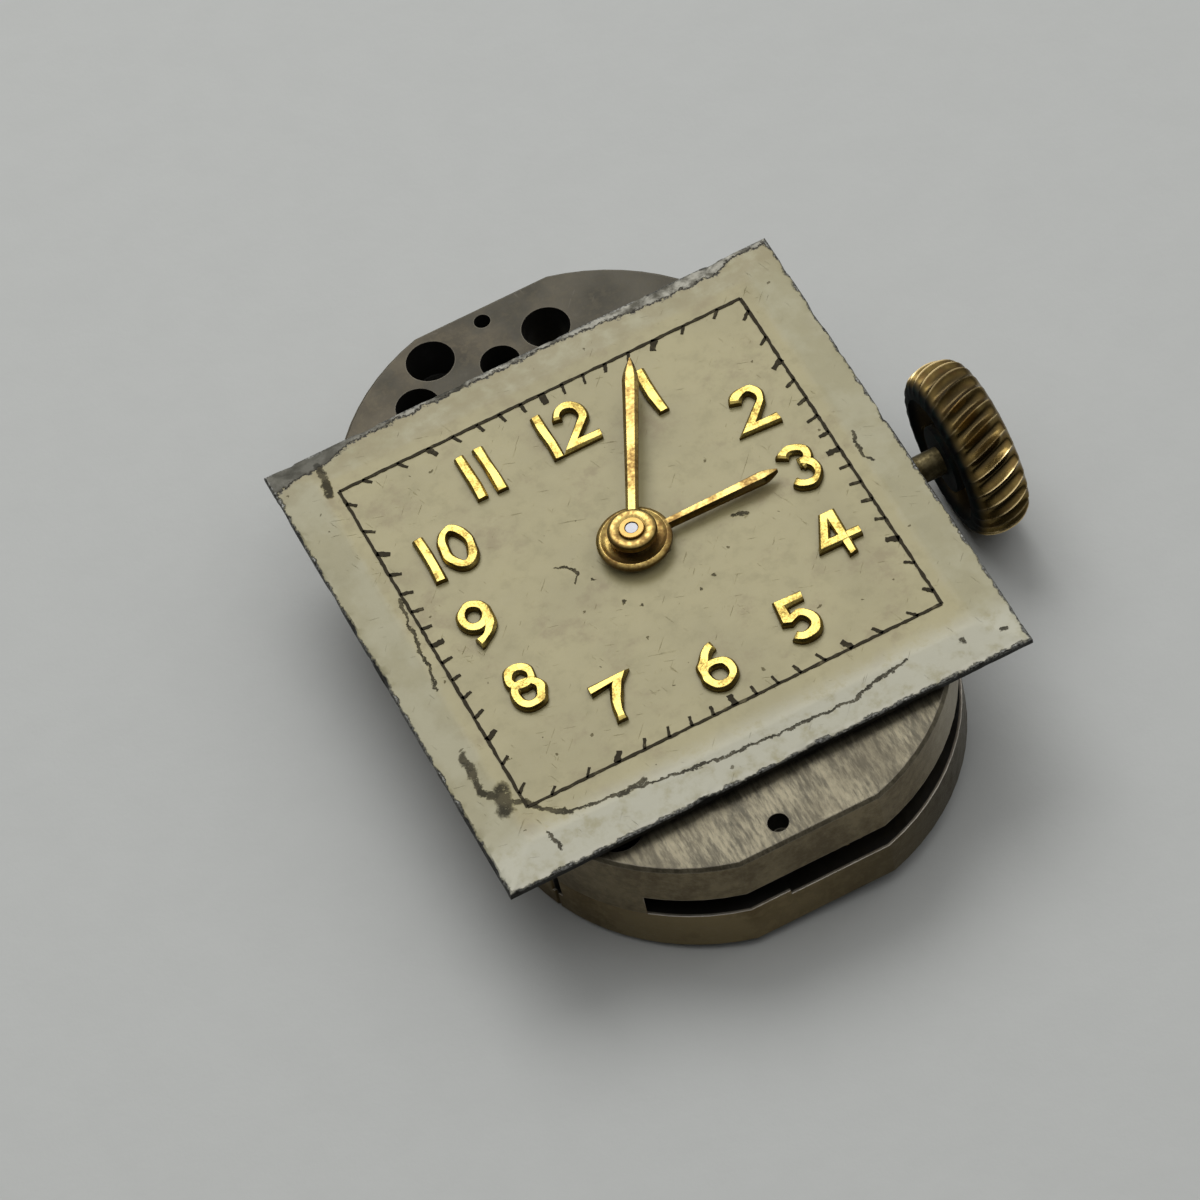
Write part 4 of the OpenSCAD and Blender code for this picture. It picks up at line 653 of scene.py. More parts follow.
def worn_metal(name, clean, dull, bright, rough, cover, scale, line, radius, stretch=None, rub=6.0,
               scratch=0.25, side_tarnish_and_shade=None, above=None):
    """Metal with tarnish in patches, brushed lines, fine scratches and rubbed edges.

    line is the bump's height and radius the rubbed edges' width, in millimetres. The colour given for the
    sides goes on the steep faces as tarnish with painted shade, and above is (height, colour) of what stands
    over a height.
    """
    net = Surface(name)
    place = net.place()
    patch = net.group("tarnish", Place=place, Scale=scale, Cover=cover)
    rubbed = net.group("edges", Radius=radius * MM, Spread=rub)
    marks = net.group("scratches", Place=place, Density=scratch)
    color = net.lay(clean, (dull, patch["Mask"]), (dull, patch["Mottle"], 0.35))
    ground = net.scaled(patch["Mask"], 0.22, rough)
    height = net.times(patch["Mottle"], 0.5)
    if stretch is not None:
        lines = net.group("brush", Place=place, Stretch=stretch)
        color = net.lay(color, (bright, net.step(lines["Streak"], 0.4, 0.7), 0.3))
        ground = net.scaled(lines["Line"], 0.16, ground)
        height = net.plus(height, lines["Line"])
    color = net.lay(color, (bright, rubbed["Mask"], 0.8), (bright, marks["Mask"]))
    if side_tarnish_and_shade is not None:
        # Steep faces take tarnish with painted shade
        color = net.lay(color, (side_tarnish_and_shade, net.steep(0.75, 0.5), 0.85))
    if above is not None:
        color = net.lay(color, (above[1], net.step(net.split(place)[2], above[0] - 0.01, above[0])))
    ground = net.minus(ground, net.times(rubbed["Mask"], 0.12), clamp=True)
    return net.join(color, ground, height, line, metallic=1.0, normal=rubbed["Normal"])


def lacquer_ground(net, place, mottle, rim, finish):
    """Cream flat with brown stains, and a border painted paler and greener, with pale patches of painted
    sheen, for the light on its slope.
    """
    broad = net.noise(place, 0.45, 4.0, 0.55)
    stain = net.times(net.step(net.noise(place, 0.8, 5.0, 0.65), 0.5, 0.68), net.step(mottle, 0.35, 0.6))
    border_sheen = net.times(rim, net.step(net.noise(place, 0.75, 4.0, 0.6), 0.42, 0.62))
    return net.lay(
        finish.cream,
        (shade(finish.cream, 0.88), net.step(broad, 0.35, 0.68)),
        (shade(finish.cream, 0.72), net.step(mottle, 0.48, 0.7), 0.4),
        (STAIN, stain, 0.55),
        # Painted sheen: the border is laid paler and greener, with pale patches, for the light on its slope
        (shade(finish.border, 0.86), rim, 0.6),
        (finish.border, border_sheen, 0.75))


def lacquer_bands(net, y, mottle, color):
    """Paler towards six and browner towards twelve, with a painted highlight line along the six side's edge.
    """
    to_six = net.times(net.step(y, -5.1, -5.9), net.step(mottle, 0.25, 0.55))
    to_twelve = net.times(net.step(y, 4.9, 5.7), net.step(mottle, 0.3, 0.6))
    # Painted highlight: a pale line along the lit lower edge of the dial
    edge_highlight = net.times(net.step(y, DIAL_LOW.y + 0.2, DIAL_LOW.y + 0.08), net.step(mottle, 0.3, 0.5))
    return net.lay(color, (PALE_BAND, to_six, 0.75), (BROWN_BAND, to_twelve, 0.55),
                   (EDGE_HIGHLIGHT_LINE, edge_highlight, 0.6))


def scar_mask(net, ragged, grain):
    """1 in the cracks and gouges, whose edges are ragged because the place is shaken."""
    cracks = None
    for points, reach in SCARS:
        for start, end in zip(points, points[1:]):
            along = Vector((*end, 0.0)) - Vector((*start, 0.0))
            crack = net.group("scar", Place=ragged, Start=(*start, 0.0), Way=along.normalized(),
                              Length=along.length, Reach=reach)["Mask"]
            cracks = crack if cracks is None else net.most(cracks, crack)
    return net.times(cracks, net.step(grain, 0.28, 0.42))


def bare_strip(net, x, y, mottle, grain, wander, color):
    """Bare metal along the twelve side with a dark line where the lacquer ends, and its mask."""
    right_bulge = net.times(net.step(x, 0.5, 4.2), net.step(x, 5.3, 4.7))
    left_wedge = net.scaled(net.step(x, -3.7, -5.3), 0.36, 0.16)
    width = net.scaled(right_bulge, 0.24, left_wedge)
    past = net.minus(net.minus(DIAL_HIGH.y, y), net.scaled(net.minus(wander, 0.5), 0.5, width))
    strip = net.step(past, 0.02, -0.02)
    line = net.times(net.step(net.size(past), 0.06, 0.02), net.step(grain, 0.35, 0.5))
    metal = net.lay(STRIP_DARK, (STRIP_LIGHT, net.step(mottle, 0.38, 0.62)),
                    (STRIP_WEDGE, net.step(x, -3.4, -4.6), 0.8))
    return net.lay(color, (metal, strip), (STRIP_LINE, line)), strip


def lost_edge(net, place, inset, grain, color):
    """Grey outline where the lacquer has gone from the very edge, and its mask."""
    wear = net.times(net.minus(net.noise(place, 2.1, 6.0, 0.72), 0.5), 0.4)
    lost = net.step(inset, net.plus(wear, 0.075), net.plus(wear, 0.03))
    bare = net.mix(net.step(grain, 0.4, 0.62), EDGE_DARK, EDGE_LIGHT)
    return net.mix(lost, color, bare), lost


def dial_lacquer(finish, dial):
    """Cream lacquer with a paler border of painted sheen, a bare strip at twelve, cracks, gouges and small
    pits, and painted shade on its side face.
    """
    net = Surface("dial_lacquer")
    place = net.place()
    x, y, z = net.split(place)
    inset = net.least(net.minus(DIAL_HALF_X, net.size(x)),
                      net.minus(DIAL_HALF_Y, net.size(net.minus(y, DIAL_MIDDLE_Y))))
    mottle = net.noise(place, 2.4, 5.0, 0.62)
    grain = net.noise(place, 17.0, 3.0, 0.6)
    shake = net.add("ShaderNodeTexNoise", {"Vector": place, "Scale": 3.1, "Detail": 4.0, "Roughness": 0.7})
    shift = net.vector("SUBTRACT", shake.outputs["Color"], (0.5, 0.5, 0.5))
    ragged = net.vector("MULTIPLY_ADD", shift, (0.34, 0.34, 0.0), place)
    rim = net.step(net.scaled(mottle, 0.3, inset), dial.border + 0.25, dial.border - 0.05)
    cracks = scar_mask(net, ragged, grain)
    pits = net.group("specks", Place=ragged, Scale=2.3, Share=0.34)["Mask"]
    hairs = net.group("scratches", Place=net.vector("MULTIPLY", place, (1.6, 1.6, 1.0)), Density=0.3)["Mask"]
    marks = net.most(pits, hairs)
    color = lacquer_ground(net, place, mottle, rim, finish)
    color = lacquer_bands(net, y, mottle, color)
    color = net.lay(color, (net.mix(net.step(mottle, 0.42, 0.6), CRACK_DARK, CRACK_LIGHT), cracks, 0.9))
    color, strip = bare_strip(net, x, y, mottle, grain, shake.outputs[0], color)
    color, lost = lost_edge(net, place, inset, grain, color)
    # Painted shade: the side face below the edge is laid nearly black
    side = net.step(z, DIAL_TOP - dial.slope - 0.02, DIAL_TOP - dial.slope - 0.05)
    color = net.lay(color, (PIT, marks, 0.7), (DIAL_SIDE_SHADE, side))
    hurt = net.most(cracks, marks)
    bared = net.most(lost, strip)
    rough = net.scaled(hurt, 0.5, net.scaled(rim, 0.06, net.scaled(mottle, 0.16, 0.3)))
    lift = net.minus(1.0, net.most(bared, hurt))
    height = net.plus(net.scaled(mottle, 0.5, net.times(grain, 0.18)), net.times(lift, 2.2))
    return net.join(color, rough, height, 0.01, metallic=net.times(bared, 0.6), Specular_IOR_Level=0.3)


def plate_metal(finish):
    """Silvered plate: dull brown at twelve, brushed grey at six, olive walls and painted black shade in the
    openings.
    """
    net = Surface("plate_metal")
    place = net.place()
    x, y, z = net.split(place)
    patch = net.group("tarnish", Place=place, Scale=0.75, Cover=0.5)
    lines = net.group("brush", Place=place, Stretch=(8.0, 1.5, 8.0))
    rubbed = net.group("edges", Radius=0.045 * MM, Spread=5.0)
    marks = net.group("scratches", Place=place, Density=0.3)
    hollow = net.group("hollows", Place=place)
    twelve = net.step(net.scaled(patch["Mottle"], 1.4, y), 0.0, 1.6)
    streak = net.scaled(lines["Line"], 0.6, net.times(lines["Streak"], 0.4))
    grey = net.lay(shade(finish.plate, 0.32), (finish.plate, net.step(streak, 0.4, 0.6)),
                   (GREY_STAIN, patch["Mask"], 0.4))
    cloud = net.times(net.step(net.noise(place, 0.55, 3.0, 0.6), 0.44, 0.6), 0.5)
    shadow = net.most(cloud, net.times(net.step(x, -0.5, 3.0), 0.5))
    brown = net.lay(BROWN_PLATE, (finish.tarnish, patch["Mask"]),
                    (BROWN_FLECK, net.step(patch["Mottle"], 0.42, 0.66), 0.6), (PLATE_SHADOW, shadow))
    wall = net.lay(PLATE_WALL, (PLATE_WALL_STAIN, patch["Mask"]),
                   (PLATE_WALL_CLEAN, net.step(x, 2.5, 4.5), 0.6))
    worn = net.times(rubbed["Mask"], net.step(z, PLATE_LOW.z + 0.2, PLATE_LOW.z + 0.5))
    color = net.lay(grey, (brown, twelve), (wall, net.steep(0.8, 0.4)), (PLATE_RUBBED, worn, 0.6),
                    # The openings are painted near black as shade and lose their metal sheen
                    (PLATE_SCRATCH, marks["Mask"], 0.5), (OPENING_SHADE, hollow["Mask"]))
    rough = net.scaled(twelve, 0.16, net.scaled(patch["Mask"], 0.08, 0.36))
    brushed = net.times(lines["Line"], net.minus(1.0, net.times(twelve, 0.8)))
    metallic = net.times(net.minus(0.7, net.times(twelve, 0.35)), net.minus(1.0, hollow["Mask"]))
    return net.join(color, rough, net.scaled(patch["Mottle"], 0.5, brushed), 0.012, metallic=metallic,
                    normal=rubbed["Normal"])


def bridge_metal():
    """Silvered bridges: brushed backs, dark brown outer walls painted darker towards three o'clock as shade,
    and painted black shade in the openings.
    """
    net = Surface("bridge_silvered")
    place = net.place()
    patch = net.group("tarnish", Place=place, Scale=0.5, Cover=0.36)
    lines = net.group("brush", Place=place, Stretch=(9.0, 0.5, 9.0))
    rubbed = net.group("edges", Radius=0.05 * MM, Spread=6.0)
    marks = net.group("scratches", Place=place, Density=0.25)
    hollow = net.group("hollows", Place=place)
    wall = net.lay(BRIDGE_WALL, (BRIDGE_WALL_STAIN, patch["Mask"]),
                   (BRIDGE_WALL_FLECK, net.step(patch["Mottle"], 0.5, 0.7), 0.4),
                   # Painted shade: the wall darkens towards three o'clock
                   (BRIDGE_WALL_SHADE, net.step(net.split(place)[0], -1.5, 3.5), 0.78))
    color = net.lay(SILVER, (SILVER_STAIN, patch["Mask"]),
                    (SILVER_STREAK, net.step(lines["Streak"], 0.4, 0.7), 0.3),
                    (SILVER_RUBBED, rubbed["Mask"], 0.8), (wall, hollow["Wall"]),
                    # The openings are painted near black as shade
                    (BRIDGE_SCRATCH, marks["Mask"], 0.6), (OPENING_SHADE, hollow["Mask"]))
    rough = net.scaled(lines["Line"], 0.16, net.scaled(patch["Mask"], 0.2, 0.3))
    return net.join(color, rough, net.scaled(patch["Mottle"], 0.5, lines["Line"]), 0.008,
                    metallic=net.minus(0.95, net.times(hollow["Mask"], 0.9)), normal=rubbed["Normal"])


def crown_valley(net, place, x, crown):
    """1 deep in a flute, by how far a place lies below the rounded rim: the mask of the painted shade in the
    flutes.
    """
    off_axis = net.vector("SUBTRACT", net.vector("MULTIPLY", place, (0.0, 1.0, 1.0)), (0.0, 0.0, STEM_Z))
    off = net.math("POWER", net.math("DIVIDE", net.minus(x, CROWN_MIDDLE), CROWN_HALF), 2.0)
    swell = net.math("POWER", net.minus(1.0, off, clamp=True), crown.fullness / 2)
    rim = net.scaled(swell, crown.rounding, CROWN_RADIUS - crown.rounding)
    below = net.minus(rim, net.measure("LENGTH", off_axis))
    return net.step(below, crown.depth * 0.45, crown.depth * 0.95)


def crown_brass(finish, crown):
    """Dark olive brass: bright on the crests with wear and a painted highlight, and painted shade nearly
    black in the flutes and on the inner side, there in dark green patches.
    """
    net = Surface("crown_brass")
    place = net.place()
    x = net.split(place)[0]
    patch = net.group("tarnish", Place=place, Scale=0.5, Cover=0.5)
    marks = net.group("scratches", Place=place, Density=0.5)
    rubbed = net.group("edges", Radius=0.06 * MM, Spread=9.0)
    inner = net.step(x, CROWN_LOW.x + 0.26, CROWN_LOW.x + 0.04)
    # Painted shade: the inner side is nearly black, mottled dark green
    inner_shade_tone = net.mix(net.step(patch["Mottle"], 0.42, 0.62), INNER_SHADE, INNER_GREEN)
    # Crests: wear with a painted highlight
    crest_highlight_and_wear = net.times(rubbed["Mask"], net.minus(1.0, inner))
    color = net.lay(finish.crown, (shade(finish.crown, 0.5), patch["Mask"]),
                    (CROWN_RUST, net.step(patch["Mottle"], 0.5, 0.72), 0.3),
                    # Painted shade: the flutes are laid nearly black
                    (FLUTE_SHADE, crown_valley(net, place, x, crown), 0.85),
                    (CREST_WEAR_AND_HIGHLIGHT, crest_highlight_and_wear, 0.95), (CROWN_SCRATCH, marks["Mask"], 0.4), (inner_shade_tone, inner))
    rough = net.scaled(crest_highlight_and_wear, -0.06, net.scaled(patch["Mask"], 0.12, 0.24))
    return net.join(color, net.scaled(inner, 0.5, rough), patch["Mottle"], 0.006,
                    metallic=net.scaled(inner, -0.95, 0.95), Specular_IOR_Level=0.15)


def worn_ink(color):
    """Dry black print that has thinned in places."""
    net = Surface("track_ink")
    place = net.place()
    thin = net.noise(place, 3.2, 4.0, 0.65)
    fine = net.noise(place, 14.0, 3.0, 0.6)
    color = net.lay(color, (FADED_INK, net.step(thin, 0.56, 0.74)), (GREY_INK, fine, 0.3))
    return net.join(color, net.scaled(fine, 0.2, 0.7), fine, 0.003, Specular_IOR_Level=0.2)


def ruby():
    """Deep red jewel with a polished face and faint clouds."""
    net = Surface("ruby")
    place = net.place()
    cloud = net.noise(place, 5.0, 3.0, 0.5)
    glow = net.noise(place, 1.3, 2.0, 0.5)
    color = net.lay((0.42, 0.015, 0.05), ((0.66, 0.05, 0.10), cloud), ((0.78, 0.20, 0.22), glow, 0.3))
    return net.join(color, net.scaled(cloud, 0.05, 0.04), cloud, 0.001, IOR=1.77, Coat_Weight=0.4)


def floor_paper(stage):
    """Pale grey card with a faint tooth."""
    net = Surface("floor_card")
    place = net.place()
    tooth = net.noise(place, 0.9, 5.0, 0.6)
    cloud = net.noise(place, 0.03, 3.0, 0.5)
    color = net.lay(stage.floor, (shade(stage.floor, 0.93), cloud, 0.35),
                    (shade(stage.floor, 0.8), net.step(tooth, 0.3, 0.75), 0.10))
    return net.join(color, 0.9, tooth, 0.02, Specular_IOR_Level=0.15)


def gilt_finishes(finish):
    """Gold of the numerals and of the hands, both dark on their steep sides with tarnish and painted shade.
    """
    FINISHES["gold"] = worn_metal(
        "numeral_gold", finish.gold, (0.22, 0.145, 0.035), (0.72, 0.60, 0.26), rough=0.27, cover=0.36,
        scale=2.6, line=0.012, radius=0.02, rub=2.0, scratch=0.2, side_tarnish_and_shade=(0.045, 0.026, 0.006))
    FINISHES["rose"] = worn_metal(
        "hand_gold", finish.hands, (0.22, 0.13, 0.042), (0.74, 0.57, 0.28), rough=0.27, cover=0.46,
        scale=1.5, line=0.008, radius=0.02, rub=2.0, scratch=0.4, side_tarnish_and_shade=(0.05, 0.027, 0.007))


def wheel_finishes():
    """Brass and steel of the works; what of them stands over the dial has its own colour."""
    FINISHES["brass"] = worn_metal(
        "wheel_brass", (0.70, 0.52, 0.22), (0.40, 0.27, 0.10), (0.88, 0.74, 0.44), rough=0.22, cover=0.3,
        scale=1.5, stretch=(9.0, 9.0, 1.0), line=0.003, radius=0.015, above=(DIAL_TOP, (0.20, 0.20, 0.21)))
    FINISHES["steel"] = worn_metal(
        "polished_steel", (0.56, 0.56, 0.57), (0.34, 0.32, 0.30), (0.78, 0.78, 0.78), rough=0.2, cover=0.25,
        scale=1.2, stretch=(7.0, 7.0, 1.0), line=0.003, radius=0.02, above=(DIAL_TOP, (0.30, 0.19, 0.06)))
    FINISHES["screw"] = worn_metal(
        "screw_steel", (0.50, 0.50, 0.53), (0.30, 0.28, 0.27), (0.80, 0.80, 0.80), rough=0.14, cover=0.2,
        scale=2.0, stretch=(1.0, 12.0, 1.0), line=0.002, radius=0.025)
    FINISHES["blued"] = worn_metal(
        "blued_steel", (0.07, 0.11, 0.28), (0.05, 0.05, 0.10), (0.30, 0.36, 0.52), rough=0.18, cover=0.3,
        scale=1.6, line=0.003, radius=0.01)
    FINISHES["stem"] = worn_metal(
        "stem_tarnished", (0.16, 0.13, 0.065), (0.07, 0.055, 0.025), (0.40, 0.34, 0.20), rough=0.34,
        cover=0.5, scale=1.4, stretch=(12.0, 1.0, 1.0), line=0.006, radius=0.02)


# Pieces, one operator each


class MOVEMENT_OT_finishes(bpy.types.Operator):
    """Make every finish: lacquer, ink, gold, silvered brass, steel and ruby"""

    bl_idname = "movement.finishes"
    bl_label = "Make finishes"

    def execute(self, context):
        scene = context.scene
        finish = scene.movement_finish
        build_effects()
        FINISHES["dial"] = dial_lacquer(finish, scene.movement_dial)
        FINISHES["plate"] = plate_metal(finish)
        FINISHES["bridge"] = bridge_metal()
        FINISHES["crown"] = crown_brass(finish, scene.movement_crown)
        FINISHES["ruby"] = ruby()
        FINISHES["ink"] = worn_ink(finish.ink)
        gilt_finishes(finish)
        wheel_finishes()
        FINISHES["floor"] = floor_paper(scene.movement_stage)
        return {"FINISHED"}


# Finish of each material slot of the record
SLOT_FINISH = {
    "plate": "plate", "bridges": "bridge", "dial_lacquer": "dial", "gold": "gold", "rose_gold": "rose",
    "brass": "brass", "steel": "steel", "screw_steel": "screw", "blued_steel": "blued", "ruby": "ruby",
    "stem_steel": "stem", "crown_brass": "crown",
}


class MOVEMENT_OT_metalwork(bpy.types.Operator):
    """Give the plate, bridges, wheels, screws, springs and jewels their finishes"""

    bl_idname = "movement.metalwork"
    bl_label = "Finish metalwork"

    def execute(self, context):
        for entry in frame["record"]["subparts"]:
            coat(NODES[entry["node"]], SLOT_FINISH[entry["material_slot"]])
        return {"FINISHED"}


DIAL_POINTS_PER_SIDE = 150


def dial_ring(inset, z, nicks=0.0, seed=0.0):
    """Points round the dial, in from its edge by the inset, with nicks of up to about the given size."""
    row = []
    for x, y in rectangle_ring(DIAL_HALF_X - inset, DIAL_HALF_Y - inset, DIAL_MIDDLE_Y, DIAL_POINTS_PER_SIDE):
        nick = noise.fractal(Vector((x * 1.7, y * 1.7, seed)), 0.9, 2.2, 4)
        nick = max(0.0, nick - 0.12) * nicks
        toward = Vector((-x, DIAL_MIDDLE_Y - y)).normalized() * nick
        row.append((x + toward.x, y + toward.y, z - nick * 0.5))
    return row


def field_ring(dial, share, z):
    """Points between the flat's outline, at share 0, and the centre hole, at share 1."""
    inset = dial.border + 0.12
    row = []
    for x, y in rectangle_ring(DIAL_HALF_X - inset, DIAL_HALF_Y - inset, DIAL_MIDDLE_Y, DIAL_POINTS_PER_SIDE):
        rim = Vector((x, y)).normalized() * dial.hole
        row.append((x + (rim.x - x) * share, y + (rim.y - y) * share, z))
    return row


def dial_rows(dial):
    """The dial from its hole along its back, round its nicked edge and over its border and its flat."""
    edge_top = DIAL_TOP - dial.slope
    edge_low = edge_top - dial.edge + 0.02
    rows = [field_ring(dial, 1.0, FACE_Z), dial_ring(dial.border, FACE_Z), dial_ring(dial.border, edge_low),
            dial_ring(0.03, edge_low, 0.03, 3.0), dial_ring(0.0, edge_low + 0.03, 0.06, 3.0),
            dial_ring(0.0, edge_top - 0.035, 0.08, 5.0), dial_ring(0.03, edge_top, 0.08, 5.0),
            dial_ring(0.09, edge_top + 0.016, 0.05, 7.0)]
    for part in (0.25, 0.5, 0.75, 0.9):
        rows.append(dial_ring(dial.border * part, edge_top + dial.slope * part - 0.004, 0.012, 9.0))
    rows += [dial_ring(dial.border - 0.03, DIAL_TOP - 0.012), dial_ring(dial.border + 0.03, DIAL_TOP - 0.018)]
    for share in (0.0, 0.1, 0.22, 0.4, 0.6, 0.8, 0.96):
        rows.append(field_ring(dial, share, DIAL_TOP - 0.016 * (1 - share) ** 3))
    return rows + [field_ring(dial, 0.995, DIAL_TOP - 0.004), field_ring(dial, 1.0, DIAL_TOP - 0.03)]


class MOVEMENT_OT_dial(bpy.types.Operator):
    """Build the worn dial in place of the plain one"""

    bl_idname = "movement.dial"
    bl_label = "Build dial"

    def execute(self, context):
        shape = Shape()
        shape.grid(dial_rows(context.scene.movement_dial), closed_rows=True)
        tip = DIAL_LOW.z + 0.08
        for foot in DIAL_FEET:
            profile = [(DIAL_FOOT_RADIUS, FACE_Z + 0.02), (DIAL_FOOT_RADIUS, tip), (0.19, tip - 0.07)]
            shape.grid(turned(profile, 32, foot), caps=True)
        make_piece("dial_face", shape, "movement", "dial", ["dial"], smooth=30.0)
        return {"FINISHED"}


def lay_ink(shape, draw, start, end, width_start, width_end, pieces):
    """Ragged strip of ink between two points of the dial."""
    along = Vector((end[0] - start[0], end[1] - start[1]))
    side = Vector((-along.y, along.x)).normalized()
    low = DIAL_TOP - 0.02
    high = DIAL_TOP + 0.004
    rows = []
    for i in range(pieces + 1):
        t = i / pieces
        width = width_start + (width_end - width_start) * t
        edge = [width * (0.5 + draw.uniform(-0.16, 0.16)) for _ in range(2)]
        spot = Vector(start) + along * t
        left = spot + side * edge[0]
        right = spot - side * edge[1]
        rows.append([(left.x, left.y, low), (left.x, left.y, high), (right.x, right.y, high),
                     (right.x, right.y, low)])
    shape.grid(rows, caps=True)


class MOVEMENT_OT_track(bpy.types.Operator):
    """Print the minute track with its sixty ticks"""

    bl_idname = "movement.track"
    bl_label = "Print minute track"

    def execute(self, context):
        dial = context.scene.movement_dial
        draw = random.Random(11)
        shape = Shape()
        tx, ty = dial.track_x, dial.track_y
        corners = [(tx, -ty), (tx, ty), (-tx, ty), (-tx, -ty)]
        for i, start in enumerate(corners):
            lay_ink(shape, draw, start, corners[(i + 1) % 4], dial.track_line, dial.track_line, 90)
        for minute in range(60):
            angle = math.radians(90 - 6 * minute)
            ray = Vector((math.cos(angle), math.sin(angle)))
            reach = min(tx / max(abs(ray.x), 1e-6), ty / max(abs(ray.y), 1e-6))
            hour = minute % 5 == 0
            long = dial.tick * (1.12 if hour else draw.uniform(0.85, 1.08))
            thick = dial.track_line * (2.1 if hour else draw.uniform(0.95, 1.3))
            lay_ink(shape, draw, ray * (reach + 0.01), ray * (reach - long), thick, thick * 0.8, 6)
        make_piece("minute_track", shape, "movement", "ink", smooth=60.0)
        return {"FINISHED"}


def oval(cx, cy, rx, ry):
    """Closed stroke round an ellipse."""
    return ellipse_arc(cx, cy, rx, ry, 0, 351, 39), True


def figure_strokes(figure, width, height):
    """Centre lines of one figure as (points, closed) strokes about its middle."""
    w, h = width / 2, height / 2
    low, high = height * 0.3, height * 0.24  # Half heights of the lower and the upper bowl
    past = 0.125  # An upright runs on to the figure's full height
    if figure == 0:
        return [oval(0, 0, w, h)]
    if figure == 1:
        return [([(0, -h - past), (0, -h * 0.4), (0, h * 0.4), (0, h + past)], False)]
    if figure == 2:
        return [(ellipse_arc(0, h - low, w, low, 168, -32) + [(-w, -h), (w + 0.12, -h)], False)]
    if figure == 3:
        return [(ellipse_arc(0, h - high, w * 0.92, high, 158, -84), False),
                (ellipse_arc(0, low - h, w, low, 92, -158), False)]
    if figure == 4:
        upright = [(w * 0.42, -h - past), (w * 0.42, h)]
        return [(upright + [(-w * 0.05, h), (-w - 0.04, -h * 0.3), (w + 0.22, -h * 0.3)], False)]
    if figure == 5:
        flag = [(w + 0.04, h), (-w * 0.7, h), (-w * 0.82, 0.06)]
        return [(flag + ellipse_arc(-w * 0.02, low - h, w, low, 128, -150), False)]
    if figure == 6:
        return [oval(0, low - h, w, low),
                (ellipse_arc(w * 0.9, low - h, w * 1.9, height - low, 180, 96), False)]
    if figure == 7:
        leg = ellipse_arc(1.6 - w * 0.3, -h, 1.6, height * 1.52, 141, 180)
        return [([(-w - 0.12, h), (w + 0.04, h)] + leg, False)]
    if figure == 8:
        return [oval(0, h - high, w * 0.85, high), oval(0, low - h, w, low)]
    # A nine is a six turned half round
    return [([(-x, -y) for x, y in points], closed) for points, closed in figure_strokes(6, width, height)]


def figures_of(hour):
    """Figures of an hour with their shifts from the numeral's centre."""
    if hour < 10:
        return [(hour, 0.0)]
    pitch, share = (0.46, 0.5) if hour == 11 else (0.68, 0.62)
    return [(1, -pitch * share), (hour % 10, pitch * (1 - share))]


class MOVEMENT_OT_numerals(bpy.types.Operator):
    """Set the twelve applied gold numerals"""

    bl_idname = "movement.numerals"
    bl_label = "Set numerals"

    def execute(self, context):
        dial = context.scene.movement_dial
        stroke = dial.numeral_stroke
        width = dial.numeral_width - stroke
        height = dial.numeral_height - stroke
        rise = NUMERAL_TOP - DIAL_TOP
        shape = Shape()
        for hour, centre in NUMERALS.items():
            for figure, shift in figures_of(hour):
                for points, closed in figure_strokes(figure, width, height):
                    moved = [(x + shift, y) for x, y in points]
                    rows = bar_rows(moved, closed, stroke, rise, DIAL_TOP - 0.01, centre, hour * 3.7)
                    shape.grid(rows, closed_rows=closed, caps=not closed)
        make_piece("applied_numerals", shape, "movement", "gold", ["hour_numerals"], smooth=25.0)
        return {"FINISHED"}


def hand_boss(shape, low, high, foot, top):
    """Turned boss of a hand: foot is (radius, height over low) points, top (radius, depth below high)."""
    profile = [(r, low + up) for r, up in foot] + [(r, high - down) for r, down in top]
    shape.grid(turned(profile, 96), closed_rows=True)


def hand_blade(shape, reach, start, root, widest, low, thick, angle):
    """Long flat baton with bevelled sides that swells to a shoulder, then narrows and thins to a point."""
    ray = Vector((math.sin(angle), math.cos(angle)))
    side = Vector((ray.y, -ray.x))
    shoulder = 0.86
    droop_from = 0.9
    rows = []
    for part in (0.0, 0.08, 0.2, 0.34, 0.48, 0.62, 0.74, 0.82, shoulder, droop_from, 0.93, 0.96, 0.98, 1.0):
        half = (root + (widest - root) * min(1.0, part / shoulder) ** 1.3) / 2
        if part > shoulder:
            fade = (part - shoulder) / (1 - shoulder)
            half = widest / 2 * (1 - 0.9 * fade ** 1.6)
        droop = 1.0 - max(0.0, part - droop_from) * 3.2
        spot = ray * (start + (reach - start) * part)
        rows.append([(spot.x + side.x * half * across, spot.y + side.y * half * across,
                      low + thick * up * droop) for across, up in BLADE_SECTION])
    shape.grid(rows, caps=True)


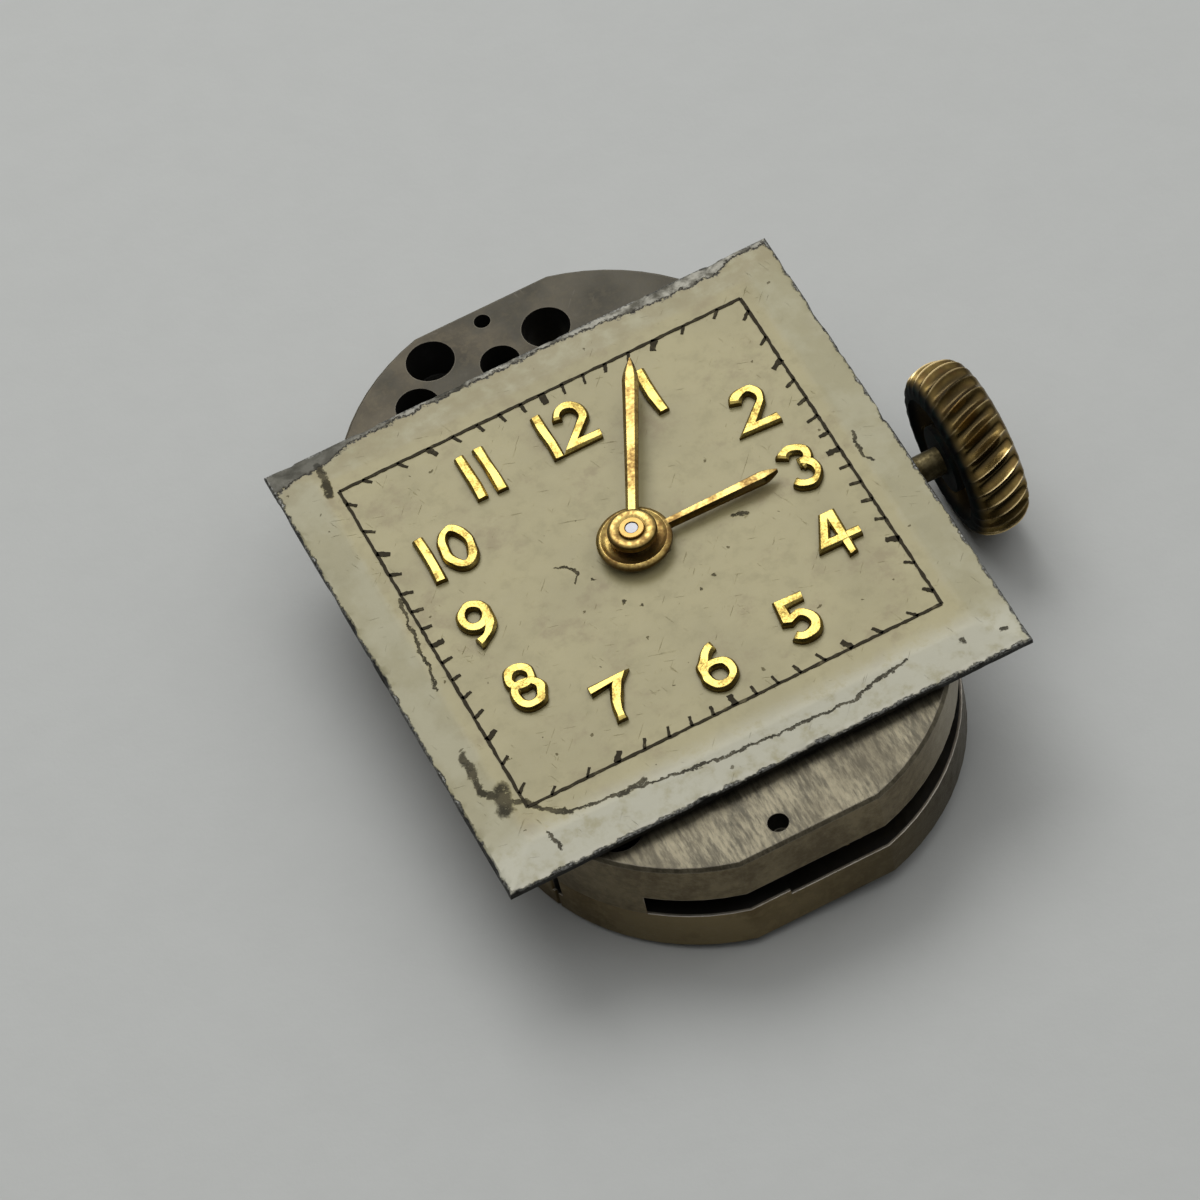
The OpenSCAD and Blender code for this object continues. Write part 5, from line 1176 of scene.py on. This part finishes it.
class MOVEMENT_OT_hands(bpy.types.Operator):
    """Build the gilt hour and minute hands with their bosses"""

    bl_idname = "movement.hands"
    bl_label = "Build hands"

    def execute(self, context):
        hands = context.scene.movement_hands
        hour = Shape()
        hand_boss(hour, HOUR_LOW.z, HOUR_HIGH.z, foot=[(0.425, 0.0), (0.80, 0.0), (0.84, 0.04)],
                  top=[(0.84, 0.06), (0.80, 0.015), (0.74, 0.0), (0.68, 0.03), (0.62, 0.05), (0.425, 0.055)])
        hand_blade(hour, hands.hour_length, 0.74, 0.24, hands.hour_width, HOUR_LOW.z + 0.005,
                   HOUR_HIGH.z - HOUR_LOW.z - 0.02, hands.hour_angle)
        make_piece("hour_baton", hour, "hour_hand", "rose", ["hour_hand"], smooth=35.0)
        minute = Shape()
        hand_boss(minute, MINUTE_LOW.z, MINUTE_HIGH.z, foot=[(0.275, 0.0), (0.52, 0.0), (0.55, 0.03)],
                  top=[(0.55, 0.07), (0.52, 0.025), (0.46, 0.0), (0.36, 0.006), (0.30, 0.03), (0.275, 0.04)])
        hand_blade(minute, hands.minute_length, 0.46, 0.28, hands.minute_width, MINUTE_LOW.z + 0.01, 0.11,
                   hands.minute_angle)
        make_piece("minute_baton", minute, "minute_hand", "rose", ["minute_hand"], smooth=35.0)
        return {"FINISHED"}


# Hollow inner face and outer face of the crown, as (radius, depth in from that face)
CROWN_INNER_FACE = [(0.35, 0.02), (0.78, 0.02), (0.8, 0.05), (0.8, 0.47), (0.9, 0.5), (1.3, 0.46),
                    (1.42, 0.3), (1.46, 0.08), (1.49, 0.01)]
CROWN_OUTER_FACE = [(1.4, 0.006), (1.2, 0.03), (0.7, 0.05), (0.2, 0.055)]
RIM_STEPS = 20
POINTS_PER_FLUTE = 12


def crown_profile(crown):
    """Points of the crown from its inner to its outer face as (radius, x, share of the flute's depth)."""
    profile = [(radius, CROWN_LOW.x + deep, 0) for radius, deep in CROWN_INNER_FACE]
    for i in range(RIM_STEPS + 1):
        angle = math.pi * i / RIM_STEPS
        swell = math.sin(angle) ** crown.fullness if 0 < i < RIM_STEPS else 0.0
        radius = CROWN_RADIUS - crown.rounding * (1 - swell)
        profile.append((radius, CROWN_MIDDLE - CROWN_HALF * math.cos(angle), 0.1 + 0.9 * swell ** 2))
    return profile + [(radius, CROWN_HIGH.x - deep, 0) for radius, deep in CROWN_OUTER_FACE]


class MOVEMENT_OT_crown(bpy.types.Operator):
    """Turn the fluted crown in place of the plain one"""

    bl_idname = "movement.crown"
    bl_label = "Build crown"

    def execute(self, context):
        crown = context.scene.movement_crown
        steps = crown.flutes * POINTS_PER_FLUTE
        rows = []
        for radius, x, share in crown_profile(crown):
            lean = math.tan(crown.slant) * (x - CROWN_MIDDLE) / CROWN_RADIUS
            row = []
            for j in range(steps):
                across = 2 * (j % POINTS_PER_FLUTE) / POINTS_PER_FLUTE - 1
                angle = math.tau * j / steps - lean
                reach = radius - crown.depth * share * (1 - across * across)
                row.append((x, math.cos(angle) * reach, STEM_Z + math.sin(angle) * reach))
            rows.append(row)
        shape = Shape()
        shape.grid(rows, caps=True)
        make_piece("fluted_crown", shape, "stem", "crown", ["crown"])
        return {"FINISHED"}


def lay_floor(scene):
    """Large sloping floor, which isn't part of the object."""
    places = [-FLOOR_HALF + 2 * FLOOR_HALF * i / FLOOR_CELLS for i in range(FLOOR_CELLS + 1)]
    shape = Shape()
    shape.grid([[(x, y, -FLOOR_FALL * (x - FLOOR_LEVEL_X)) for y in places] for x in places],
               closed_columns=False)
    floor = bpy.data.objects.new("floor", shape.mesh("floor"))
    scene.collection.objects.link(floor)
    coat(floor, "floor")


def hang_lamp(scene, power):
    """One round lamp above and a little left of the camera's view."""
    lamp = bpy.data.lights.new("key_lamp", "AREA")
    lamp.energy = power
    lamp.shape = "DISK"
    lamp.size = LAMP_WIDTH * MM
    holder = bpy.data.objects.new("key_lamp", lamp)
    way = (CAMERA_RIGHT * -0.3 + CAMERA_UP * 0.85 + CAMERA_BACK * 0.3).normalized()
    holder.location = (LAMP_AIM + way * LAMP_FAR) * MM
    holder.rotation_euler = way.to_track_quat("Z", "Y").to_euler()
    scene.collection.objects.link(holder)


def light_room(scene, strength):
    """Room that is white high behind the camera and dark all round below."""
    world = bpy.data.worlds.new("studio")
    world.use_nodes = True
    net = Net(world.node_tree)
    sky = world.node_tree.nodes["Background"]
    way = net.add("ShaderNodeTexCoord").outputs["Generated"]
    toward = (CAMERA_UP * 0.8 + CAMERA_BACK * 0.6).normalized()
    rise = net.step(net.measure("DOT_PRODUCT", way, toward), 0.28, 0.96)
    world.node_tree.links.new(net.mix(rise, (0.02, 0.02, 0.02), (1.0, 1.0, 1.0)), sky.inputs["Color"])
    sky.inputs["Strength"].default_value = strength
    scene.world = world
    scene.view_settings.view_transform = "Standard"


def set_camera(scene, focal_length):
    """Camera at the photograph's viewing angle."""
    lens = bpy.data.cameras.new("camera")
    lens.lens = focal_length
    lens.sensor_width = 36.0
    lens.clip_start = 0.001
    lens.clip_end = 10.0
    camera = bpy.data.objects.new("camera", lens)
    turned_to = Matrix((CAMERA_RIGHT, CAMERA_UP, CAMERA_BACK)).transposed().to_4x4()
    camera.matrix_world = Matrix.Translation(CAMERA_PLACE * MM) @ turned_to
    scene.collection.objects.link(camera)
    scene.camera = camera


class MOVEMENT_OT_stage(bpy.types.Operator):
    """Lay the floor, hang the lamp, light the room and set the camera"""

    bl_idname = "movement.stage"
    bl_label = "Set stage"

    def execute(self, context):
        scene = context.scene
        stage = scene.movement_stage
        lay_floor(scene)
        hang_lamp(scene, stage.key)
        light_room(scene, stage.sky)
        set_camera(scene, stage.lens)
        return {"FINISHED"}


# Add-on


OPERATORS = [MOVEMENT_OT_finishes, MOVEMENT_OT_metalwork, MOVEMENT_OT_dial, MOVEMENT_OT_track,
             MOVEMENT_OT_numerals, MOVEMENT_OT_hands, MOVEMENT_OT_crown, MOVEMENT_OT_stage]


class MOVEMENT_PT_panel(bpy.types.Panel):
    """Lists the settings and the steps"""

    bl_idname = "MOVEMENT_PT_panel"
    bl_label = "Movement"
    bl_space_type = "VIEW_3D"
    bl_region_type = "UI"
    bl_category = "Movement"

    def draw(self, context):
        for name, group in SETTINGS.items():
            block = self.layout.box()
            for field in group.__annotations__:
                block.prop(getattr(context.scene, name), field)
        for step in OPERATORS:
            self.layout.operator(step.bl_idname)


def register():
    for group in SETTINGS.values():
        bpy.utils.register_class(group)
    for name, group in SETTINGS.items():
        setattr(bpy.types.Scene, name, bpy.props.PointerProperty(type=group))
    for item in [*OPERATORS, MOVEMENT_PT_panel]:
        bpy.utils.register_class(item)


def unregister():
    for item in [MOVEMENT_PT_panel, *reversed(OPERATORS)]:
        bpy.utils.unregister_class(item)
    for name, group in SETTINGS.items():
        delattr(bpy.types.Scene, name)
        bpy.utils.unregister_class(group)


def main():
    register()
    bpy.ops.movement.finishes()
    bpy.ops.movement.metalwork()
    bpy.ops.movement.dial()
    bpy.ops.movement.track()
    bpy.ops.movement.numerals()
    bpy.ops.movement.hands()
    bpy.ops.movement.crown()
    bpy.ops.movement.stage()


if __name__ == "__main__":
    main()
